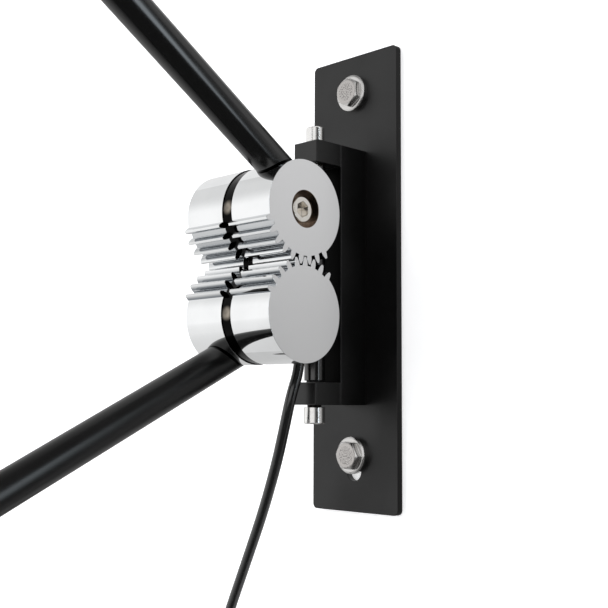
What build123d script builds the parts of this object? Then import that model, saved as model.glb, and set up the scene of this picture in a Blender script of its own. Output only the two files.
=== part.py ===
from build123d import *
import os
from math import acos, cos, degrees, pi, radians, sin, sqrt, tan

# Counterbalanced wall lamp: a wall bracket, a swivelling gear joint, a lamp arm and a weight arm.
# Millimetres and degrees. The wall is the plane Y = 0, the lamp stands out along -Y, and Z is up.
# The origin is the middle of the wall plate's back face.

# Wall plate and its bolts
plate_width = 65.0
plate_height = 268.0
plate_thick = 4.0
plate_corner = 3.0
bolt_top_height = 111.3
bolt_low_height = -101.7
bolt_size = 10.0
bolt_neck = 10.4
bolt_hole = 11.0
bolt_flange = 21.4
bolt_flange_rim = 3.0
bolt_flange_thick = 3.6
bolt_flange_taper = 62.0
bolt_across_flats = 15.0
bolt_head_height = 7.2
bolt_face = 13.8
bolt_face_taper = 60.0
bolt_in_wall = 50.0
bolt_top_turn = 33.0
bolt_low_turn = 57.0
slot_below_bolt = 14.7
slot_above_bolt = 6.3

# C-shaped bracket
bracket_thick = 18.0
bracket_depth = 41.0
bracket_height = 148.0
bracket_rise = 1.1
bracket_flange = 12.5
bracket_web = 21.2
bracket_bevel = 0.5
bracket_screw_size = 6.0
bracket_screw_head = 11.5
bracket_screw_length = 18.0
bracket_screw_cone = 90.0
bracket_screw_spacing = 96.0

# Swivel post between two pivot screws
pivot_from_wall = 37.0
post_diameter = 11.4
post_end_gap = 1.0
upper_pivot_head = 10.4
lower_pivot_head = 11.8
pivot_head_height = 9.2
pivot_head_bevel = 0.5
pivot_thread = 8.0
pivot_nose = 5.0
pivot_nose_depth = 9.0
pivot_key = 5.0
pivot_key_depth = 4.0
lower_pivot_head_gap = 1.3
pivot_bush_outer = 8.0
pivot_bush_length = 10.0
thrust_washer_outer = 9.0

# Gear pair: two halves a side, with the carrier plate between them
gear_module = 2.0
tooth_root_modules = 1.25
gear_circle_teeth = 27
gear_cut_teeth = 9
teeth_before_mesh = 5
pressure_angle = 20.0
tooth_slack = 0.24
gear_plain_radius = 25.9
gear_half_width = 28.5
gear_groove = 7.4
hub_diameter = 20.0
gear_bush_wall = 2.5
axle_size = 8.0
axle_hole = 8.6
axle_head = 13.6
axle_head_height = 8.0
axle_head_bevel = 0.4
axle_key = 7.6
axle_key_depth = 4.5
axle_thread_depth = 14.0
counterbore_diameter = 19.6
counterbore_depth = 10.0
drive_pin_size = 4.0
drive_pin_spread = 13.0
drive_pin_depth = 5.0

# Carrier plate that joins the post to both gear axles
carrier_reach = 40.3
carrier_thick = 7.0
carrier_lobe_radius = 25.4
carrier_waist_front = 10.5
carrier_spine_height = 68.0

# Tube arms
arm_rise = 33.0
arm_diameter = 18.0
arm_wall = 1.5
arm_offset = 15.0
arm_socket_start = 9.0
set_screw_size = 5.0
set_screw_key = 2.5
set_screw_key_depth = 2.0
set_screw_at = 13.5
set_screw_recess = 0.4

# Counterweight on the upper arm
weight_arm_length = 322.0
weight_diameter = 50.0
weight_length = 80.0
weight_from_end = 6.0
weight_bevel = 1.5
weight_screw_size = 6.0
weight_screw_key = 3.0
weight_screw_recess = 1.0
arm_cap_thick = 3.0
arm_cap_depth = 10.0

# Lamp arm: its end fork, hinge pin and the lead inside the tube
lamp_arm_reach = 520.0
fork_body = 20.0
fork_spigot = 18.0
fork_slot = 8.2
fork_slot_depth = 11.0
hinge_pin_size = 5.0
hinge_pin_inset = 0.3
lead_hole = 6.0
lead_diameter = 4.4
lead_start = 14.0

# Lamp head
head_diameter = 150.0
head_height = 18.0
head_wall = 2.0
head_top = 2.5
head_edge_round = 2.5
head_from_hinge = 22.0
head_drop = 6.0
tongue_radius = 8.0
tongue_overlap = 8.0
foot_start = 25.0
foot_length = 32.0
foot_width = 26.0
foot_corner = 4.0
foot_thick = 4.5
foot_pad_thick = 4.0
lug_screw_size = 4.0
lug_screw_head = 7.6
lug_screw_head_height = 2.4
lug_screw_key = 2.5
lug_screw_key_depth = 1.4
lug_screw_grip = 5.5
lug_screw_spacing_along = 16.0
lug_screw_spacing_across = 16.4
board_diameter = 124.0
board_thick = 1.6
standoff_height = 6.0
standoff_diameter = 7.0
standoff_circle = 100.0
standoff_count = 3
board_screw_size = 3.0
board_screw_head = 5.5
board_screw_head_height = 1.8
board_screw_grip = 4.5
diffuser_thick = 2.5
diffuser_ledge = 3.0
ring_thick = 2.0
ring_width = 5.0
ring_inset = 0.5
button_from_hinge = 72.0
button_diameter = 10.0
button_rise = 2.0
button_bevel = 0.5
button_flange = 13.0
button_flange_thick = 1.0
button_stem = 4.0
button_stem_length = 3.0
button_travel = 1.2
switch_side = 12.0
switch_room = 0.5

# Mains cord, its put-away coil, the coil's tie and the plug
cord_diameter = 6.0
cord_straight = 13.0
bend_share = 0.45
gland_diameter = 7.7
gland_height = 6.1
gland_bevel = 0.6
gland_stem = 4.6
gland_stem_depth = 7.0
gland_from_pivot = 11.5
coil_radius = 47.5
coil_pitch = 6.6
coil_turns = 7
tie_width = 8.0
tie_wall = 1.6
tie_corner = 2.0
plug_width = 35.3
plug_depth = 13.7
plug_height = 34.0
plug_neck = 13.0
plug_shoulder = 15.0
plug_round = 3.0
boot_diameter = 10.0
boot_tip = 7.8
boot_height = 22.0
plug_pin_size = 4.0
plug_pin_length = 19.0
plug_pin_spacing = 19.0
plug_pin_root = 6.0
plug_pin_bevel = 0.8

# Clearances
thread_gap = 0.05
press_gap = 0.02
running_gap = 0.04
slide_gap = 0.05
side_gap = 0.1
hole_slack = 0.2
cord_gap = 0.3
gland_gap = 0.2

# Places worked out from the sizes above
pitch_radius = gear_module * gear_circle_teeth / 2
tip_radius = pitch_radius + gear_module
root_radius = pitch_radius - tooth_root_modules * gear_module
tooth_pitch = 360 / gear_circle_teeth
first_tooth = arm_rise + 90 - (teeth_before_mesh + 0.5) * tooth_pitch
arm_drop = arm_rise - tooth_pitch / 2
outer_side = gear_groove / 2 + gear_half_width
arm_side = gear_groove / 2 + gear_half_width / 2
axle_seat = outer_side - counterbore_depth
drive_pin_places = [(-drive_pin_spread / 2, 0), (drive_pin_spread / 2, 0)]
bracket_screw_flare = (bracket_screw_head - bracket_screw_size) / 2
bracket_screw_head_height = bracket_screw_flare / tan(radians(bracket_screw_cone / 2))
arm_radius = arm_diameter / 2
tube_bore = arm_radius - arm_wall
fork_start = lamp_arm_reach - fork_body
weight_start = weight_arm_length - weight_from_end - weight_length

pivot_y = -pivot_from_wall
gear_y = pivot_y - carrier_reach
bracket_front = -plate_thick - bracket_depth
bracket_half = bracket_height / 2
window_half = bracket_half - bracket_flange
post_half = window_half - post_end_gap
spine_foot = bracket_rise - carrier_spine_height / 2

head_middle = head_from_hinge + head_diameter / 2
head_bottom = -head_drop - head_height
ceiling = -head_drop - head_top
ledge = head_bottom + ring_inset + ring_thick + diffuser_thick
lens_radius = head_diameter / 2 - head_wall
board_top = ceiling - standoff_height
board_bottom = board_top - board_thick
flange_top = ceiling - side_gap
flange_bottom = flange_top - button_flange_thick
switch_top = flange_bottom - button_travel - switch_room

cord_radius = cord_diameter / 2
gland_y = pivot_y - gland_from_pivot
gland_foot = spine_foot - gland_height

wall = Plane.XZ
side = Plane.YZ
upper_gear = Plane(
    origin=(0, gear_y, bracket_rise + pitch_radius),
    x_dir=(0, -cos(radians(arm_rise)), sin(radians(arm_rise))),
    z_dir=(1, 0, 0),
)
lower_gear = Plane(
    origin=(0, gear_y, bracket_rise - pitch_radius),
    x_dir=(0, -cos(radians(arm_drop)), -sin(radians(arm_drop))),
    z_dir=(-1, 0, 0),
)
hinge = lower_gear.from_local_coords((lamp_arm_reach, -arm_offset, arm_side))
head = Plane(origin=hinge, x_dir=(0, -1, 0), z_dir=(0, 0, 1))
head_side = Plane(origin=hinge, x_dir=(0, -1, 0), z_dir=(-1, 0, 0))

# The cord's route from the gland to the coil, point by point as it hangs
cord_route = [
    (0.0, gland_y, gland_foot - gland_gap),
    (0.0, gland_y, gland_foot - gland_gap - cord_straight),
    (-1.0, -54.2, -67.6),
    (-6.3, -54.3, -86.3),
    (-16.0, -50.5, -105.6),
    (-33.3, -44.1, -133.6),
    (-54.0, -37.3, -163.2),
    (-76.4, -30.0, -195.0),
    (-89.4, -27.0, -218.0),
    (-95.0, -25.0, -244.0),
    (-95.0, -25.0, -259.0),
]

os.makedirs("parts", exist_ok=True)


def polar(radius, angle):
    """Point at a radius and an angle."""
    return (radius * cos(radians(angle)), radius * sin(radians(angle)))


def tooth_half_angle(radius):
    """Half a tooth's angle at a radius, on an involute flank that runs radially below its base circle."""
    base = pitch_radius * cos(radians(pressure_angle))
    lean = acos(min(1.0, base / radius))
    pitch_lean = radians(pressure_angle)
    drift = (tan(lean) - lean) - (tan(pitch_lean) - pitch_lean)
    return tooth_pitch / 4 - degrees(drift) - degrees(tooth_slack / 2 / pitch_radius)


def gear_outline(plane):
    """Outline of a gear half on a plane: teeth on one sector, plain round elsewhere."""
    tip = tooth_half_angle(tip_radius)
    flank = tooth_half_angle(pitch_radius)
    root = tooth_half_angle(root_radius)
    plain = tooth_half_angle(gear_plain_radius)
    last_tooth = first_tooth + (gear_cut_teeth - 1) * tooth_pitch
    with BuildSketch(plane) as outline:
        with BuildLine():
            for tooth in range(gear_cut_teeth):
                middle = first_tooth + tooth * tooth_pitch
                rise = polar(root_radius, middle - root)
                fall = polar(root_radius, middle + root)
                if tooth == 0:
                    rise = polar(gear_plain_radius, middle - plain)
                if tooth == gear_cut_teeth - 1:
                    fall = polar(gear_plain_radius, middle + plain)
                crest_start = polar(tip_radius, middle - tip)
                crest_end = polar(tip_radius, middle + tip)
                ThreePointArc(rise, polar(pitch_radius, middle - flank), crest_start)
                ThreePointArc(crest_start, polar(tip_radius, middle), crest_end)
                ThreePointArc(crest_end, polar(pitch_radius, middle + flank), fall)
                if tooth < gear_cut_teeth - 1:
                    valley = polar(root_radius, middle + tooth_pitch / 2)
                    ThreePointArc(fall, valley, polar(root_radius, middle + tooth_pitch - root))
            opposite = polar(gear_plain_radius, (first_tooth + last_tooth) / 2 + 180)
            plain_start = polar(gear_plain_radius, last_tooth + plain)
            ThreePointArc(plain_start, opposite, polar(gear_plain_radius, first_tooth - plain))
        make_face()
    return outline.sketch


def arm_station(gear, along):
    """Plane square to an arm, at a distance along it from the gear's axle."""
    spot = gear.from_local_coords((along, -arm_offset, arm_side))
    return Plane(origin=spot, x_dir=gear.z_dir, z_dir=gear.x_dir)


def make_arm_gear(gear, name):
    """Gear half with the arm's socket and the axle screw's counterbore."""
    with BuildPart() as half:
        extrude(gear_outline(gear.offset(gear_groove / 2)), amount=gear_half_width)
        with BuildSketch(gear.offset(outer_side)):
            Circle(counterbore_diameter / 2)
        extrude(amount=-counterbore_depth, mode=Mode.SUBTRACT)
        with BuildSketch(gear.offset(outer_side)):
            Circle(axle_hole / 2)
        extrude(amount=-gear_half_width, mode=Mode.SUBTRACT)
        with BuildSketch(arm_station(gear, arm_socket_start)):
            Circle(arm_radius + press_gap)
        extrude(amount=tip_radius, mode=Mode.SUBTRACT)
        with BuildSketch(gear.offset(gear_groove / 2)):
            with Locations((set_screw_at, -arm_offset)):
                Circle(set_screw_size / 2)
        extrude(amount=gear_half_width / 2, mode=Mode.SUBTRACT)
        with BuildSketch(gear.offset(gear_groove / 2)):
            with Locations(*drive_pin_places):
                Circle(drive_pin_size / 2 + press_gap)
        extrude(amount=drive_pin_depth, mode=Mode.SUBTRACT)
    half.part.label = name
    export_step(half.part, f"parts/{name}.step")


def make_hub_gear(gear, name):
    """Gear half with the hub that turns in the carrier's bush and takes the axle screw's thread."""
    with BuildPart() as half:
        extrude(gear_outline(gear.offset(-gear_groove / 2)), amount=-gear_half_width)
        with BuildSketch(gear.offset(-gear_groove / 2)):
            Circle(hub_diameter / 2)
        extrude(amount=gear_groove)
        with BuildSketch(gear.offset(gear_groove / 2)):
            Circle(axle_size / 2)
        extrude(amount=-gear_groove - axle_thread_depth - hole_slack, mode=Mode.SUBTRACT)
        with BuildSketch(gear.offset(gear_groove / 2)):
            with Locations(*drive_pin_places):
                Circle(drive_pin_size / 2 + press_gap)
        extrude(amount=-drive_pin_depth, mode=Mode.SUBTRACT)
    half.part.label = name
    export_step(half.part, f"parts/{name}.step")


def make_axle_screw(gear, name):
    """Socket-head screw that clamps the two gear halves together."""
    with BuildPart() as screw:
        with BuildSketch(gear.offset(axle_seat)):
            Circle(axle_head / 2)
        extrude(amount=axle_head_height)
        rims = screw.edges().filter_by(GeomType.CIRCLE)
        chamfer(rims.sort_by_distance(gear.offset(outer_side).origin)[0], length=axle_head_bevel)
        with BuildSketch(gear.offset(axle_seat + axle_head_height)):
            RegularPolygon(axle_key / 2, 6, major_radius=False)
        extrude(amount=-axle_key_depth, mode=Mode.SUBTRACT)
        with BuildSketch(gear.offset(axle_seat)):
            Circle(axle_size / 2 - thread_gap)
        extrude(amount=-axle_seat - gear_groove / 2 - axle_thread_depth)
    screw.part.label = name
    export_step(screw.part, f"parts/{name}.step")


def make_drive_pins(gear, name):
    """Two pins that key the gear halves to each other."""
    with BuildPart() as pins:
        with BuildSketch(gear.offset(gear_groove / 2)):
            with Locations(*drive_pin_places):
                Circle(drive_pin_size / 2)
        extrude(amount=drive_pin_depth - side_gap, both=True)
    pins.part.label = name
    export_step(pins.part, f"parts/{name}.step")


def make_set_screw(gear, name):
    """Set screw that holds an arm tube in its socket."""
    seat = arm_side - arm_radius
    with BuildPart() as screw:
        with BuildSketch(gear.offset(gear_groove / 2 + set_screw_recess)):
            with Locations((set_screw_at, -arm_offset)):
                Circle(set_screw_size / 2 - thread_gap)
        extrude(amount=seat - gear_groove / 2 - set_screw_recess - press_gap)
        with BuildSketch(gear.offset(gear_groove / 2 + set_screw_recess)):
            with Locations((set_screw_at, -arm_offset)):
                RegularPolygon(set_screw_key / 2, 6, major_radius=False)
        extrude(amount=set_screw_key_depth, mode=Mode.SUBTRACT)
    screw.part.label = name
    export_step(screw.part, f"parts/{name}.step")


def make_arm_tube(gear, end, name):
    """Round tube from its gear's socket to its far end."""
    with BuildPart() as tube:
        with BuildSketch(arm_station(gear, arm_socket_start)):
            Circle(arm_radius)
            Circle(tube_bore, mode=Mode.SUBTRACT)
        extrude(amount=end - arm_socket_start)
    tube.part.label = name
    export_step(tube.part, f"parts/{name}.step")


def make_gear_bush(gear, name):
    """Plain bush that a gear hub turns in."""
    with BuildPart() as bush:
        with BuildSketch(gear):
            Circle(hub_diameter / 2 + running_gap + gear_bush_wall)
            Circle(hub_diameter / 2 + running_gap, mode=Mode.SUBTRACT)
        extrude(amount=carrier_thick / 2, both=True)
    bush.part.label = name
    export_step(bush.part, f"parts/{name}.step")


def make_pivot_screw(end, head, head_gap, name):
    """Pivot screw in a bracket flange, with its nose in the post's bush."""
    seat = bracket_rise + end * bracket_half
    outer = Plane(origin=(0, pivot_y, seat), x_dir=(1, 0, 0), z_dir=(0, 0, end))
    with BuildPart() as screw:
        with BuildSketch(outer.offset(head_gap)):
            Circle(head / 2)
        extrude(amount=pivot_head_height)
        chamfer(screw.edges().sort_by(Axis.Z)[-1 if end > 0 else 0], length=pivot_head_bevel)
        with BuildSketch(outer.offset(head_gap + pivot_head_height)):
            RegularPolygon(pivot_key / 2, 6, major_radius=False)
        extrude(amount=-pivot_key_depth, mode=Mode.SUBTRACT)
        with BuildSketch(outer.offset(head_gap)):
            Circle(pivot_thread / 2 - thread_gap)
        extrude(amount=-head_gap - bracket_flange)
        with BuildSketch(outer.offset(-bracket_flange)):
            Circle(pivot_nose / 2)
        extrude(amount=-post_end_gap - pivot_nose_depth)
    screw.part.label = name
    export_step(screw.part, f"parts/{name}.step")


def make_pivot_bush(end, name):
    """Bush in one end of the post, round a pivot screw's nose."""
    mouth = Plane(origin=(0, pivot_y, bracket_rise + end * post_half), x_dir=(1, 0, 0), z_dir=(0, 0, end))
    with BuildPart() as bush:
        with BuildSketch(mouth):
            Circle(pivot_bush_outer / 2)
            Circle(pivot_nose / 2 + running_gap, mode=Mode.SUBTRACT)
        extrude(amount=-pivot_bush_length)
    bush.part.label = name
    export_step(bush.part, f"parts/{name}.step")


# Wall plate with a bolt hole above, a bolt slot below and countersinks behind for the bracket's screws
bracket_screw_heights = [bracket_rise + turn * bracket_screw_spacing / 2 for turn in (-1, 1)]
slot_length = slot_above_bolt + slot_below_bolt
slot_middle = bolt_low_height + (slot_above_bolt - slot_below_bolt) / 2
back_screw_planes = [Plane(origin=(0, 0, height), z_dir=(0, 1, 0)) for height in bracket_screw_heights]

with BuildPart() as wall_plate:
    with BuildSketch(wall):
        RectangleRounded(plate_width, plate_height, plate_corner)
        with Locations((0, bolt_top_height)):
            Circle(bolt_hole / 2, mode=Mode.SUBTRACT)
        with Locations((0, slot_middle)):
            SlotOverall(slot_length, bolt_hole, rotation=90, mode=Mode.SUBTRACT)
    extrude(amount=plate_thick)
    with Locations(*back_screw_planes):
        CounterSinkHole(
            bracket_screw_size / 2 + hole_slack,
            bracket_screw_head / 2 + hole_slack,
            counter_sink_angle=bracket_screw_cone,
        )
wall_plate.part.label = "wall_plate"
export_step(wall_plate.part, "parts/wall_plate.step")

with BuildPart() as c_bracket:
    with BuildSketch(side):
        with Locations(((-plate_thick + bracket_front) / 2, bracket_rise)):
            Rectangle(bracket_depth, bracket_height)
        with Locations((bracket_front, bracket_rise)):
            Rectangle(2 * (bracket_depth - bracket_web), 2 * window_half, mode=Mode.SUBTRACT)
    extrude(amount=bracket_thick / 2, both=True)
    chamfer(c_bracket.faces().group_by(Axis.Y)[0].edges(), length=bracket_bevel)
    with BuildSketch(Plane.XY.offset(bracket_rise)):
        with Locations((0, pivot_y)):
            Circle(pivot_thread / 2)
    extrude(amount=bracket_height, both=True, mode=Mode.SUBTRACT)
    with BuildSketch(wall.offset(plate_thick)):
        with Locations(*[(0, height) for height in bracket_screw_heights]):
            Circle(bracket_screw_size / 2)
    extrude(amount=bracket_screw_length - plate_thick + hole_slack, mode=Mode.SUBTRACT)
c_bracket.part.label = "c_bracket"
export_step(c_bracket.part, "parts/c_bracket.step")

with BuildPart() as bracket_screws:
    with BuildSketch(wall):
        with Locations(*[(0, height) for height in bracket_screw_heights]):
            Circle(bracket_screw_size / 2 - thread_gap)
    extrude(amount=bracket_screw_length)
    with BuildSketch(wall):
        with Locations(*[(0, height) for height in bracket_screw_heights]):
            Circle(bracket_screw_head / 2)
    extrude(amount=bracket_screw_head_height, taper=bracket_screw_cone / 2)
bracket_screws.part.label = "bracket_screws"
export_step(bracket_screws.part, "parts/bracket_screws.step")

bolt_places = [(0, bolt_top_height), (0, bolt_low_height)]
bolt_seat = wall.offset(plate_thick)

with BuildPart() as wall_bolts:
    for bolt_place, bolt_turn in zip(bolt_places, (bolt_top_turn, bolt_low_turn)):
        with BuildSketch(bolt_seat):
            with Locations(bolt_place):
                RegularPolygon(bolt_across_flats / 2, 6, major_radius=False, rotation=bolt_turn)
        extrude(amount=bolt_head_height)
    with BuildSketch(bolt_seat.offset(bolt_head_height)):
        with Locations(*bolt_places):
            Circle(bolt_face / 2)
    extrude(amount=-bolt_head_height, taper=-bolt_face_taper, mode=Mode.INTERSECT)
    with BuildSketch(bolt_seat):
        with Locations(*bolt_places):
            Circle(bolt_flange / 2)
    extrude(amount=bolt_flange_rim)
    with BuildSketch(bolt_seat.offset(bolt_flange_rim)):
        with Locations(*bolt_places):
            Circle(bolt_flange / 2)
    extrude(amount=bolt_flange_thick - bolt_flange_rim, taper=bolt_flange_taper)
    with BuildSketch(bolt_seat):
        with Locations(*bolt_places):
            Circle(bolt_neck / 2)
    extrude(amount=-plate_thick)
    with BuildSketch(bolt_seat):
        with Locations(*bolt_places):
            Circle(bolt_size / 2)
    extrude(amount=-plate_thick - bolt_in_wall)
wall_bolts.part.label = "wall_bolts"
export_step(wall_bolts.part, "parts/wall_bolts.step")

make_pivot_screw(1, upper_pivot_head, 0, "upper_pivot_screw")
make_pivot_screw(-1, lower_pivot_head, lower_pivot_head_gap, "lower_pivot_screw")

# Swivelling post, its bushes and the carrier plate let into its front
with BuildPart() as swivel_post:
    with BuildSketch(Plane.XY.offset(bracket_rise)):
        with Locations((0, pivot_y)):
            Circle(post_diameter / 2)
    extrude(amount=post_half, both=True)
    for post_end in (-1, 1):
        with BuildSketch(Plane.XY.offset(bracket_rise + post_end * post_half)):
            with Locations((0, pivot_y)):
                Circle(pivot_bush_outer / 2 + press_gap)
        extrude(amount=-post_end * pivot_bush_length, mode=Mode.SUBTRACT)
    with BuildSketch(side):
        with Locations((pivot_y - post_diameter / 2, bracket_rise)):
            Rectangle(post_diameter, carrier_spine_height + 2 * press_gap)
    extrude(amount=carrier_thick / 2 + press_gap, both=True, mode=Mode.SUBTRACT)
swivel_post.part.label = "swivel_post"
export_step(swivel_post.part, "parts/swivel_post.step")

make_pivot_bush(1, "upper_pivot_bush")
make_pivot_bush(-1, "lower_pivot_bush")

with BuildPart() as thrust_washer:
    with BuildSketch(Plane.XY.offset(bracket_rise - post_half)):
        with Locations((0, pivot_y)):
            Circle(thrust_washer_outer / 2)
            Circle(pivot_nose / 2 + hole_slack, mode=Mode.SUBTRACT)
    extrude(amount=side_gap - post_end_gap)
thrust_washer.part.label = "thrust_washer"
export_step(thrust_washer.part, "parts/thrust_washer.step")

with BuildPart() as gear_carrier:
    with BuildSketch(side):
        with Locations((gear_y, bracket_rise + pitch_radius), (gear_y, bracket_rise - pitch_radius)):
            Circle(carrier_lobe_radius)
        with Locations(((pivot_y + gear_y) / 2, bracket_rise)):
            Rectangle(carrier_reach, carrier_spine_height)
        with Locations((gear_y - carrier_waist_front / 2, bracket_rise)):
            Rectangle(carrier_waist_front, 2 * pitch_radius)
        with Locations((gear_y, bracket_rise + pitch_radius), (gear_y, bracket_rise - pitch_radius)):
            Circle(hub_diameter / 2 + running_gap + gear_bush_wall + press_gap, mode=Mode.SUBTRACT)
    extrude(amount=carrier_thick / 2, both=True)
    with BuildSketch(Plane.XY.offset(spine_foot)):
        with Locations((0, gland_y)):
            Circle(gland_stem / 2)
    extrude(amount=gland_stem_depth + hole_slack, mode=Mode.SUBTRACT)
gear_carrier.part.label = "gear_carrier"
export_step(gear_carrier.part, "parts/gear_carrier.step")

make_gear_bush(upper_gear, "upper_gear_bush")
make_gear_bush(lower_gear, "lower_gear_bush")

with BuildPart() as cord_gland:
    with BuildSketch(Plane.XY.offset(spine_foot)):
        with Locations((0, gland_y)):
            Circle(gland_diameter / 2)
    extrude(amount=-gland_height)
    chamfer(cord_gland.edges().sort_by(Axis.Z)[0], length=gland_bevel)
    with BuildSketch(Plane.XY.offset(spine_foot)):
        with Locations((0, gland_y)):
            Circle(gland_stem / 2 - thread_gap)
    extrude(amount=gland_stem_depth)
cord_gland.part.label = "cord_gland"
export_step(cord_gland.part, "parts/cord_gland.step")

# The two geared arms: the lower one is the same set turned over
for gear_plane, level, tube_end in (
    (upper_gear, "upper", weight_arm_length),
    (lower_gear, "lower", fork_start),
):
    make_arm_gear(gear_plane, f"{level}_arm_gear")
    make_hub_gear(gear_plane, f"{level}_hub_gear")
    make_axle_screw(gear_plane, f"{level}_axle_screw")
    make_drive_pins(gear_plane, f"{level}_drive_pins")
    make_set_screw(gear_plane, f"{level}_arm_set_screw")
    make_arm_tube(gear_plane, tube_end, f"{level}_arm_tube")

# Counterweight, its screw and the tube's end cap
weight_middle = weight_start + weight_length / 2
weight_screw_plane = Plane(
    origin=upper_gear.from_local_coords((weight_middle, -arm_offset - arm_radius - press_gap, arm_side)),
    x_dir=upper_gear.x_dir,
    z_dir=-upper_gear.y_dir,
)

with BuildPart() as counterweight:
    with BuildSketch(arm_station(upper_gear, weight_start)):
        Circle(weight_diameter / 2)
    extrude(amount=weight_length)
    chamfer(counterweight.edges().filter_by(GeomType.CIRCLE), length=weight_bevel)
    with BuildSketch(arm_station(upper_gear, weight_start)):
        Circle(arm_radius + slide_gap)
    extrude(amount=weight_length, mode=Mode.SUBTRACT)
    with BuildSketch(weight_screw_plane):
        Circle(weight_screw_size / 2)
    extrude(amount=weight_diameter, mode=Mode.SUBTRACT)
counterweight.part.label = "counterweight"
export_step(counterweight.part, "parts/counterweight.step")

weight_screw_length = weight_diameter / 2 - arm_radius - press_gap - weight_screw_recess
with BuildPart() as counterweight_screw:
    with BuildSketch(weight_screw_plane):
        Circle(weight_screw_size / 2 - thread_gap)
    extrude(amount=weight_screw_length)
    with BuildSketch(weight_screw_plane.offset(weight_screw_length)):
        RegularPolygon(weight_screw_key / 2, 6, major_radius=False)
    extrude(amount=-weight_screw_key, mode=Mode.SUBTRACT)
counterweight_screw.part.label = "counterweight_screw"
export_step(counterweight_screw.part, "parts/counterweight_screw.step")

with BuildPart() as upper_arm_cap:
    with BuildSketch(arm_station(upper_gear, weight_arm_length)):
        Circle(arm_radius)
    extrude(amount=arm_cap_thick)
    with BuildSketch(arm_station(upper_gear, weight_arm_length)):
        Circle(tube_bore - press_gap)
    extrude(amount=-arm_cap_depth)
upper_arm_cap.part.label = "upper_arm_cap"
export_step(upper_arm_cap.part, "parts/upper_arm_cap.step")

# Lamp arm's lead, fork and hinge pin
arm_middle = lower_gear.offset(arm_side)

with BuildPart() as arm_lead:
    with BuildSketch(arm_station(lower_gear, lead_start)):
        Circle(lead_diameter / 2)
    extrude(amount=lamp_arm_reach - fork_slot_depth - lead_start)
arm_lead.part.label = "arm_lead"
export_step(arm_lead.part, "parts/arm_lead.step")

with BuildPart() as arm_fork:
    with BuildSketch(arm_station(lower_gear, fork_start)):
        Circle(arm_radius)
    extrude(amount=fork_body + arm_radius)
    with BuildSketch(arm_middle):
        with Locations((lamp_arm_reach - fork_body / 2, -arm_offset)):
            Rectangle(fork_body, arm_diameter)
        with Locations((lamp_arm_reach, -arm_offset)):
            Circle(arm_radius)
    extrude(amount=arm_radius, both=True, mode=Mode.INTERSECT)
    with BuildSketch(arm_station(lower_gear, fork_start)):
        Circle(tube_bore - press_gap)
    extrude(amount=-fork_spigot)
    with BuildSketch(arm_middle):
        with Locations((lamp_arm_reach - fork_slot_depth + arm_diameter, -arm_offset)):
            Rectangle(2 * arm_diameter, 2 * arm_diameter)
    extrude(amount=fork_slot / 2, both=True, mode=Mode.SUBTRACT)
    with BuildSketch(arm_middle):
        with Locations((lamp_arm_reach, -arm_offset)):
            Circle(hinge_pin_size / 2 + press_gap)
    extrude(amount=arm_diameter, both=True, mode=Mode.SUBTRACT)
    with BuildSketch(arm_station(lower_gear, fork_start - fork_spigot)):
        Circle(lead_hole / 2)
    extrude(amount=fork_spigot + fork_body - fork_slot_depth, mode=Mode.SUBTRACT)
arm_fork.part.label = "arm_fork"
export_step(arm_fork.part, "parts/arm_fork.step")

with BuildPart() as hinge_pin:
    with BuildSketch(arm_middle):
        with Locations((lamp_arm_reach, -arm_offset)):
            Circle(hinge_pin_size / 2)
    extrude(amount=arm_radius - hinge_pin_inset, both=True)
hinge_pin.part.label = "hinge_pin"
export_step(hinge_pin.part, "parts/hinge_pin.step")

# Lamp head
foot_middle = foot_start + foot_length / 2
lug_screw_places = [
    (foot_middle + along * lug_screw_spacing_along / 2, across * lug_screw_spacing_across / 2)
    for along in (-1, 1)
    for across in (-1, 1)
]
standoff_places = [
    (head_middle + spot[0], spot[1])
    for spot in (polar(standoff_circle / 2, 360 / standoff_count * turn) for turn in range(standoff_count))
]

with BuildPart() as head_lug:
    with BuildSketch(head_side):
        Circle(tongue_radius)
        with BuildLine():
            Polyline(
                (0, tongue_radius),
                (foot_start + tongue_overlap, foot_thick - head_drop),
                (foot_start + tongue_overlap, -head_drop),
                (head_from_hinge / 2, -head_drop),
                (0, -tongue_radius),
                close=True,
            )
        make_face()
    extrude(amount=fork_slot / 2 - side_gap, both=True)
    with BuildSketch(head.offset(-head_drop)):
        with Locations((foot_middle, 0)):
            RectangleRounded(foot_length, foot_width, foot_corner)
    extrude(amount=foot_thick)
    with BuildSketch(head_side):
        Circle(hinge_pin_size / 2 + running_gap)
    extrude(amount=fork_slot, both=True, mode=Mode.SUBTRACT)
    with BuildSketch(head.offset(-head_drop)):
        with Locations(*lug_screw_places):
            Circle(lug_screw_size / 2 + hole_slack)
    extrude(amount=foot_thick + tongue_radius, mode=Mode.SUBTRACT)
head_lug.part.label = "head_lug"
export_step(head_lug.part, "parts/head_lug.step")

with BuildPart() as lug_screws:
    with BuildSketch(head.offset(foot_thick - head_drop)):
        with Locations(*lug_screw_places):
            Circle(lug_screw_head / 2)
            RegularPolygon(lug_screw_key / 2, 6, major_radius=False, mode=Mode.SUBTRACT)
    extrude(amount=lug_screw_head_height)
    with BuildSketch(head.offset(foot_thick - head_drop)):
        with Locations(*lug_screw_places):
            Circle(lug_screw_head / 2)
    extrude(amount=lug_screw_head_height - lug_screw_key_depth)
    with BuildSketch(head.offset(foot_thick - head_drop)):
        with Locations(*lug_screw_places):
            Circle(lug_screw_size / 2 - thread_gap)
    extrude(amount=-foot_thick - lug_screw_grip)
lug_screws.part.label = "lug_screws"
export_step(lug_screws.part, "parts/lug_screws.step")

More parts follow.
